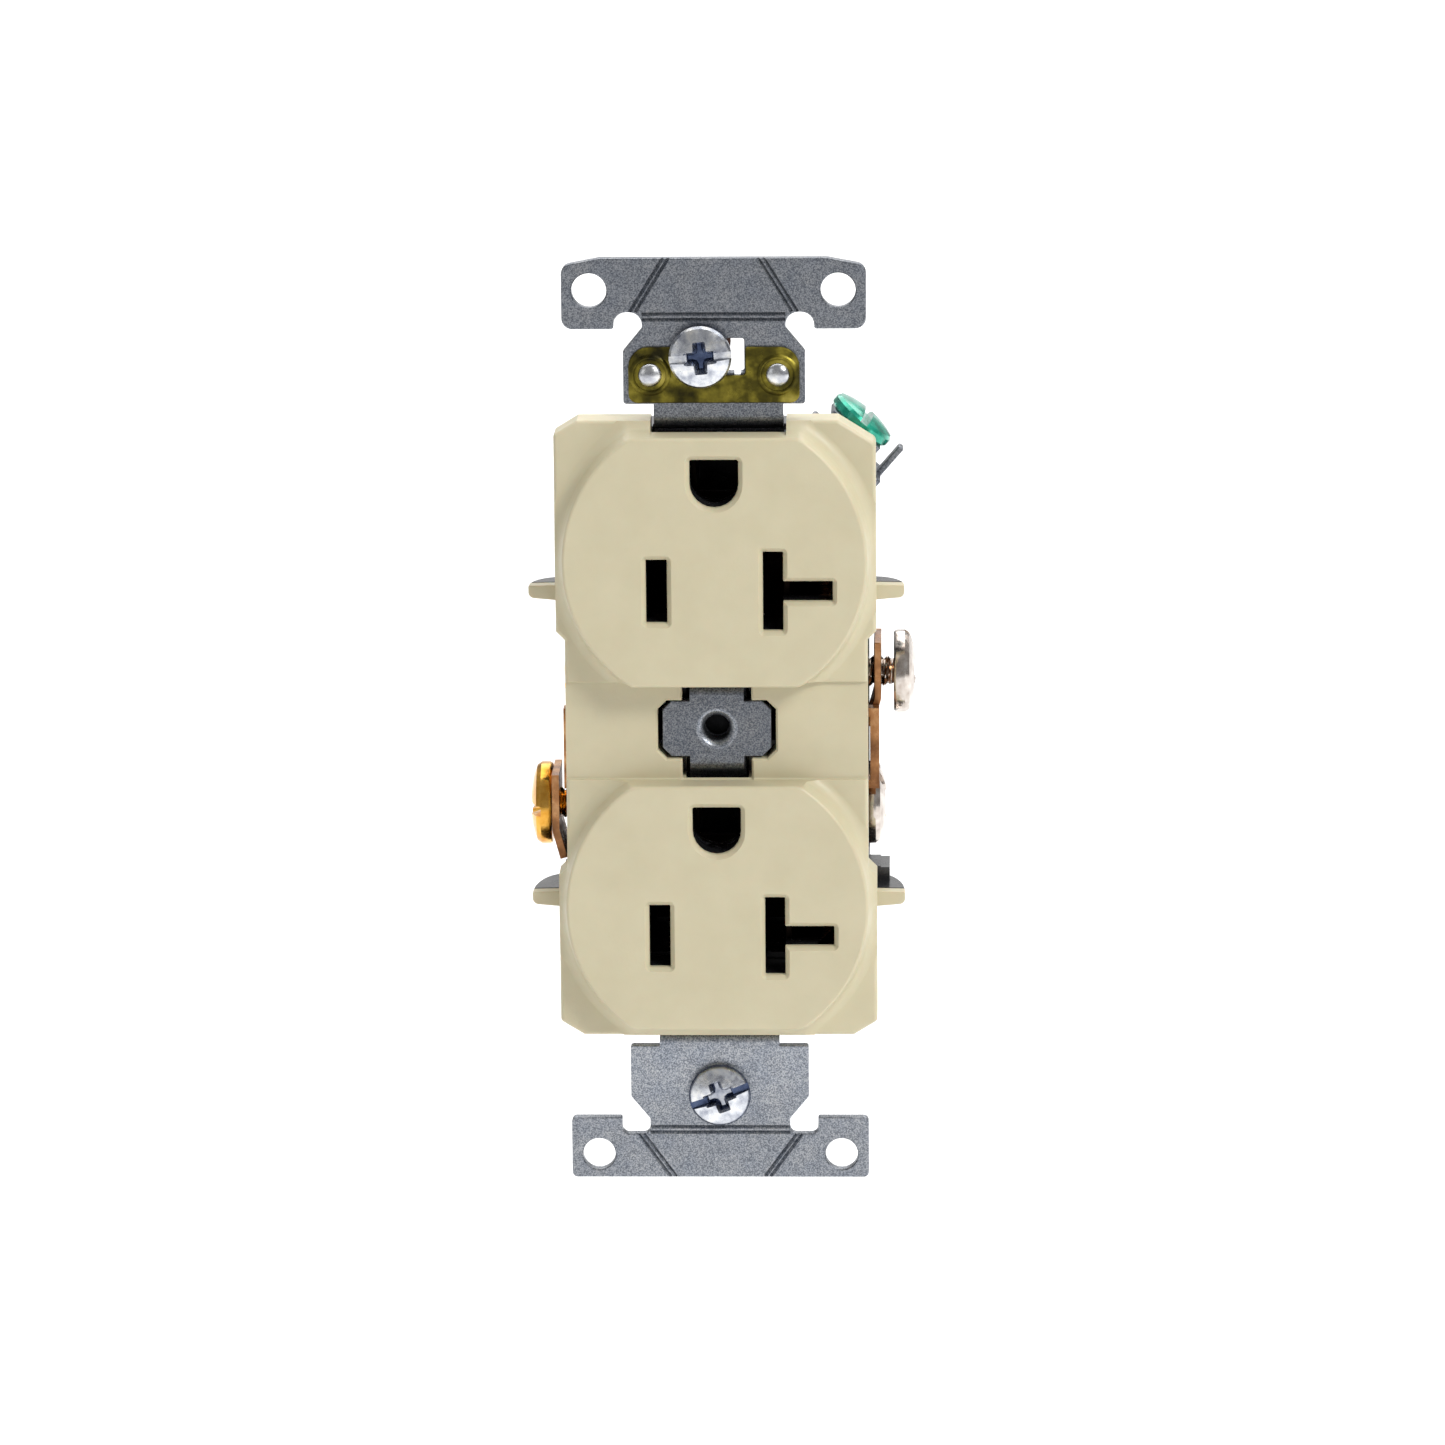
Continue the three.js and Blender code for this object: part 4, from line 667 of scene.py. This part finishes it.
ridges = [skin("ridge", turned(pressed, (x, 0, RIVET_Z))) for x in (-RIVET_X, RIVET_X)]
combined(clip, ridges, "UNION")
combined(clip, [skin("clip_hole", stacked(circle(x, RIVET_Z, 0.92), [(0, -3), (0, 0)]))
                for x in (-RIVET_X, RIVET_X)], "DIFFERENCE")
olive, tree, shader = surface("tarnished_brass", (0.2, 0.16, 0.03), 0.35, 0.85)
tree.links.new(
    ramp(tree, grain(tree, 380, 5), [
        (0.3, (0.014, 0.012, 0.002)), (0.46, (0.07, 0.058, 0.006)), (0.58, (0.2, 0.165, 0.02)),
        (0.72, (0.46, 0.38, 0.08))]),
    shader.inputs["Base Color"])
tree.links.new(ramp(tree, grain(tree, 700, 4), [(0.3, 0.22), (0.7, 0.5)]), shader.inputs["Roughness"])
bumped(tree, shader, grain(tree, 900, 3), 0.00003)
finished(clip, olive, "clip_brass", "root", ["self_grounding_clip"])

steel, tree, shader = surface("bright_plating", (0.62, 0.63, 0.65), 0.2, 1.0)
tree.links.new(
    ramp(tree, grain(tree, 1100, 4), [
        (0.3, (0.42, 0.43, 0.47)), (0.55, (0.66, 0.67, 0.68)), (0.75, (0.8, 0.78, 0.73))]),
    shader.inputs["Base Color"])
tree.links.new(ramp(tree, grain(tree, 900, 4), [(0.3, 0.14), (0.7, 0.34)]), shader.inputs["Roughness"])
bumped(tree, shader, grain(tree, 1500, 3), 0.00003)
for name, x in (("clip_rivet_left", -RIVET_X), ("clip_rivet_right", RIVET_X)):
    low, high = millimetres(name)
    head = [
        (0, low[1]), (0.45, low[1] + 0.03), (0.9, low[1] + 0.16), (1.18, low[1] + 0.36),
        (1.3, low[1] + 0.55), (1.3, -1.76), (0.85, -1.74), (0.85, 0.02), (1.25, 0.04), (1.15, 0.3),
        (0.6, high[1]), (0, high[1])]
    rivet = skin(name + "_formed", turned(head, (x, 0, RIVET_Z), 32))
    finished(rivet, steel, "plated_steel", "root", [name])


# ---------------------------------------------------------------------------------------------
# Mounting screws: plated steel pan heads with a slot and a cross, on a long cut thread, each kept
# in the strap by a fibre washer pressed over its thread. The same shape makes every screw here.

THREAD_PITCH = 0.794
WASHER = (1.76, 3.05)
RECESS_DARK = (-0.00262, -0.00162)


def screw(name, top, out, side, turn, head, rise, length, major, cross=True):
    """Screw whose head's top centre is at top, pointing along out, its slot turned from the
    direction across side. One skin is turned round the axis: a domed head, its rim, and a shank
    whose radius rises and falls with level over pitch plus angle over a full turn."""
    core = major - 0.36
    radius = head / 2
    dome = np.linspace(0, 1, 9)
    rim = np.array([(1, 0.5), (1, 0.88), (0.96, 1.0)]) * (radius, -rise)
    shank = -rise - np.arange(0, length, THREAD_PITCH / 8)
    profile = np.concatenate([
        np.stack([radius * 0.93 * dome, -0.3 * rise * dome ** 2.4], 1), rim,
        np.stack([np.full(len(shank), core), shank], 1),
        [(core * 0.7, -rise - length), (0, -rise - length)]])
    grid = turned(profile, (0, 0, 0), 56, (0, 1, 2))
    depth = -profile[:, 1] - rise
    grip = np.clip(depth / 0.7, 0, 1) * np.clip((length - depth) / 0.9, 0, 1) * (profile[:, 0] == core)
    angle = np.linspace(0, 1, 56, endpoint=False)
    phase = (profile[:, 1:] / THREAD_PITCH + angle) % 1
    ridge = np.clip(1.25 * (1 - abs(2 * phase - 1)) - 0.1, 0, 1) * grip[:, None] * (major - core)
    grid[..., :2] *= (1 + ridge / np.maximum(profile[:, :1], 1e-6))[..., None]
    width = head * 0.065
    cutters = [stacked(
        outlined(rectangle((-radius * 1.2, radius * 1.2), (-width, width), 0.05), 2),
        [(0.04, 1), (0.04, -0.05), (-0.06, -0.52 * rise)], (0, 1, 2))]
    if cross:
        a, b = radius * 0.52, width * 1.55
        plus = [(-b, -a), (b, -a), (b, -b), (a, -b), (a, b), (b, b), (b, a), (-b, a), (-b, b), (-a, b),
                (-a, -b), (-b, -b)]
        cutters.append(stacked(outlined([(u, v, 0.1) for u, v in plus], 2),
                               [(0.08, 1), (0.05, -0.03), (-b * 0.7, -0.8 * rise)], (0, 1, 2)))
    out, side = np.array(out, float), np.array(side, float)
    first = np.cross(side, out)
    u = first * math.cos(turn) + side * math.sin(turn)
    v = side * math.cos(turn) - first * math.sin(turn)
    basis = np.array([u, v, out])
    made = skin(name, grid @ basis + top)
    tools = [skin("recess", cutter @ basis + top) for cutter in cutters]
    return combined(made, tools, "DIFFERENCE")


recess_shaded_plating, tree, shader = surface("painted_recess_shade_plating", (0.6, 0.62, 0.66), 0.24, 1.0)
plated = ramp(
    tree, grain(tree, 1000, 4),
    [(0.3, (0.34, 0.36, 0.42)), (0.52, (0.64, 0.66, 0.7)), (0.7, (0.86, 0.85, 0.82))])
# Painted shade: the plating is darkened to a dim blue over a band of depth behind the head's top, taking in
# the floor of the cross recess and the head's rim.
recess_shade_colour = (0.1, 0.13, 0.22)
shade = ramp(
    tree, along_axis(tree, "Y", *RECESS_DARK), [(0.0, 1.0), (0.4, recess_shade_colour), (0.87, recess_shade_colour), (1.0, 1.0)])
tree.links.new(multiplied(tree, plated, shade), shader.inputs["Base Color"])
tree.links.new(ramp(tree, grain(tree, 900, 4), [(0.3, 0.16), (0.7, 0.36)]), shader.inputs["Roughness"])
bumped(tree, shader, grain(tree, 1500, 3), 0.00003)

HEAD_RISE = {"mounting": 1.75, "assembly": 1.4, "terminal": 2.45, "ground": 1.9}
SCREW_LENGTH = {"mounting": 21.0, "assembly": 22.4, "terminal": 9.0, "ground": 8.2}
THREAD_RADIUS = 1.72
ASSEMBLY_THREAD_RADIUS = 1.25
for level, turn in (("upper", 5), ("lower", 20)):
    low, high = millimetres("mounting_screw_" + level)
    middle = (low + high) / 2
    made = screw("mounting_screw_%s_cut" % level, (middle[0], low[1], middle[2]), (0, -1, 0), (0, 0, 1),
                 math.radians(turn), high[0] - low[0], HEAD_RISE["mounting"],
                 SCREW_LENGTH["mounting"], THREAD_RADIUS)
    finished(made, recess_shaded_plating, "plated_steel", "mounting_screw_" + level, ["mounting_screw_" + level])

fibre, tree, shader = surface("red_fibre", (0.1, 0.045, 0.03), 0.85)
tree.links.new(
    ramp(tree, grain(tree, 1500, 4), [(0.3, (0.07, 0.03, 0.02)), (0.7, (0.14, 0.065, 0.045))]),
    shader.inputs["Base Color"])
bore, outer = WASHER
for level in ("upper", "lower"):
    low, high = millimetres("screw_retainer_" + level)
    middle = (low + high) / 2
    washer = skin("fibre_washer_" + level, turned(
        [(outer - 0.2, low[1]), (outer, low[1] + 0.15), (outer, high[1] - 0.15), (outer - 0.2, high[1]),
         (bore + 0.09, high[1]), (bore, high[1] - 0.1), (bore, low[1] + 0.1), (bore + 0.09, low[1])],
        (middle[0], 0, middle[2])))
    finished(washer, fibre, "fibre", "screw_retainer_" + level, ["screw_retainer_" + level])


# ---------------------------------------------------------------------------------------------
# Assembly screws: four long slotted screws of plated steel, driven from the back through the body
# into the cover, near its corners. They hold the strap and the contacts between the two.

for level in ("upper", "lower"):
    for side_name, turn in (("left", -23), ("right", 23)):
        node = "assembly_screw_%s_%s" % (level, side_name)
        low, high = millimetres(node)
        middle = (low + high) / 2
        made = screw(node + "_cut", (middle[0], high[1], middle[2]), (0, 1, 0), (0, 0, 1),
                     math.radians(turn), high[0] - low[0], HEAD_RISE["assembly"],
                     SCREW_LENGTH["assembly"], ASSEMBLY_THREAD_RADIUS, False)
        finished(made, steel, "plated_steel", "root", [node])


# ---------------------------------------------------------------------------------------------
# Contacts: stamped brass strips with the leaves that grip a plug's blades, painted nearly black as
# shade deep in the body, and the break-off link that joins each side's two terminals; two ground
# contacts, riveted to the strap.

copper, tree, shader = surface("contact_brass", (0.5, 0.25, 0.1), 0.3, 0.95)
brown = ramp(
    tree, grain(tree, 500, 4),
    [(0.3, (0.18, 0.08, 0.035)), (0.55, (0.38, 0.18, 0.075)), (0.75, (0.6, 0.36, 0.18))])
# Painted shade: the brass is darkened nearly to black within 11.3 mm of the middle, as shade deep in the
# body.
inner_shade = ramp(tree, distance(tree, (50, 0, 0)), [(0.565, 0.012), (0.59, 1.0)])
tree.links.new(multiplied(tree, brown, inner_shade), shader.inputs["Base Color"])
tree.links.new(ramp(tree, grain(tree, 700, 4), [(0.3, 0.2), (0.7, 0.42)]), shader.inputs["Roughness"])
bumped(tree, shader, grain(tree, 1200, 2), 0.00002)
for node in ("neutral_contact_strip", "hot_contact_strip", "ground_contact_upper", "ground_contact_lower"):
    eased(node, copper, 0.1)
for node in ("ground_rivet_upper", "ground_rivet_lower"):
    eased(node, steel, 0.05, 60)


# ---------------------------------------------------------------------------------------------
# Terminals: on each side two pan-head screws, nickel-plated for the neutral and bright brass for
# the hot, and under each a bent pressure plate that clamps a wire against the strip.

nickel, tree, shader = surface("nickel_plating", (0.6, 0.55, 0.5), 0.14, 1.0)
tree.links.new(
    ramp(tree, grain(tree, 800, 4), [(0.3, (0.4, 0.33, 0.28)), (0.7, (0.7, 0.65, 0.6))]),
    shader.inputs["Base Color"])
tree.links.new(ramp(tree, grain(tree, 900, 3), [(0.3, 0.1), (0.7, 0.24)]), shader.inputs["Roughness"])
bumped(tree, shader, grain(tree, 1300, 3), 0.00002)
gold, tree, shader = surface("screw_brass", (0.8, 0.48, 0.1), 0.15, 1.0)
tree.links.new(
    ramp(tree, grain(tree, 800, 4), [(0.3, (0.6, 0.27, 0.03)), (0.7, (0.84, 0.48, 0.1))]),
    shader.inputs["Base Color"])
tree.links.new(ramp(tree, grain(tree, 900, 3), [(0.3, 0.12), (0.7, 0.26)]), shader.inputs["Roughness"])
bumped(tree, shader, grain(tree, 1300, 3), 0.00002)
for line, sign, plating, slot_name in (("neutral", 1, nickel, "nickel"), ("hot", -1, gold, "screw_brass")):
    for level, turn in (("upper", 0 if sign > 0 else 70), ("lower", 35 if sign > 0 else 90)):
        node = "%s_screw_%s" % (line, level)
        low, high = millimetres(node)
        middle = (low + high) / 2
        end = high[0] if sign > 0 else low[0]
        made = screw(node + "_cut", (end, middle[1], middle[2]), (sign, 0, 0), (0, 1, 0),
                     math.radians(turn), high[1] - low[1], HEAD_RISE["terminal"],
                     SCREW_LENGTH["terminal"], THREAD_RADIUS)
        finished(made, plating, slot_name, node, [node])
        eased("%s_clamp_%s" % (line, level), copper, 0.12)


# ---------------------------------------------------------------------------------------------
# Ground terminal: a slotted steel screw dyed green over its plating, driven into the strap's angled
# tab, with a square zinc-plated pressure plate under its head.

green, tree, shader = surface(
    "green_plating", (0.01, 0.36, 0.24), 0.2, 0.55, Coat_Weight=0.6, Coat_Roughness=0.1)
tree.links.new(
    ramp(tree, grain(tree, 700, 4), [
        (0.3, (0.003, 0.2, 0.13)), (0.6, (0.012, 0.4, 0.27)), (0.78, (0.12, 0.62, 0.45))]),
    shader.inputs["Base Color"])
tree.links.new(ramp(tree, grain(tree, 900, 3), [(0.3, 0.14), (0.7, 0.32)]), shader.inputs["Roughness"])
bumped(tree, shader, grain(tree, 1300, 3), 0.00003)
GROUND_HEAD = 7.66
ground_top = GROUND_CENTRE + ground_out * HEAD_RISE["ground"] / 2
made = screw("ground_screw_cut", ground_top, ground_out, (0, 1, 0), math.radians(90), GROUND_HEAD,
             HEAD_RISE["ground"], SCREW_LENGTH["ground"], THREAD_RADIUS, False)
finished(made, green, "green_plating", "ground_screw", ["ground_screw"])
eased("ground_clamp", zinc, 0.12)


# ---------------------------------------------------------------------------------------------
# Surroundings: a pale floor well below the outlet, a soft key and fill light, a light behind for the
# edges, one over the floor that keeps it pale, and an even, pale room.

FLOOR_REACH, FLOOR_Z = 8.0, -0.15
ROOM_STRENGTH = 0.34
floor_mesh = bpy.data.meshes.new("floor")
floor_mesh.from_pydata(
    [(x * FLOOR_REACH, y * FLOOR_REACH, FLOOR_Z) for x, y in ((-1, -1), (1, -1), (1, 1), (-1, 1))],
    [], [(0, 1, 2, 3)])
floor = bpy.data.objects.new("floor", floor_mesh)
bpy.context.scene.collection.objects.link(floor)
pale, tree, shader = surface("pale_floor", (0.9, 0.9, 0.9), 0.9)
floor_mesh.materials.append(pale)

for name, place, size, power, target in (
    ("key", (0.85, -0.8, 0.95), 0.45, 16.0, (0, 0, 0)),
    ("fill", (-1.1, -0.9, 0.45), 0.7, 1.0, (0, 0, 0)),
    ("back", (0.0, 2.4, 0.75), 1.6, 5.0, (0, 0, 0)),
    ("floor", (0.0, 1.3, 1.5), 3.0, 66.0, (0, 1.3, 0)),
):
    light = bpy.data.objects.new(name, bpy.data.lights.new(name, "AREA"))
    light.data.size, light.data.energy = size, power
    light.location = place
    light.rotation_mode = "QUATERNION"
    light.rotation_quaternion = (Vector(target) - Vector(place)).to_track_quat("-Z", "Y")
    bpy.context.scene.collection.objects.link(light)
room = bpy.data.worlds.new("room")
bpy.context.scene.world = room
room.use_nodes = True
sky = room.node_tree.nodes["Background"]
sky.inputs["Color"].default_value = (1.0, 1.0, 1.0, 1)
sky.inputs["Strength"].default_value = ROOM_STRENGTH
bpy.context.scene.view_settings.view_transform = "Standard"
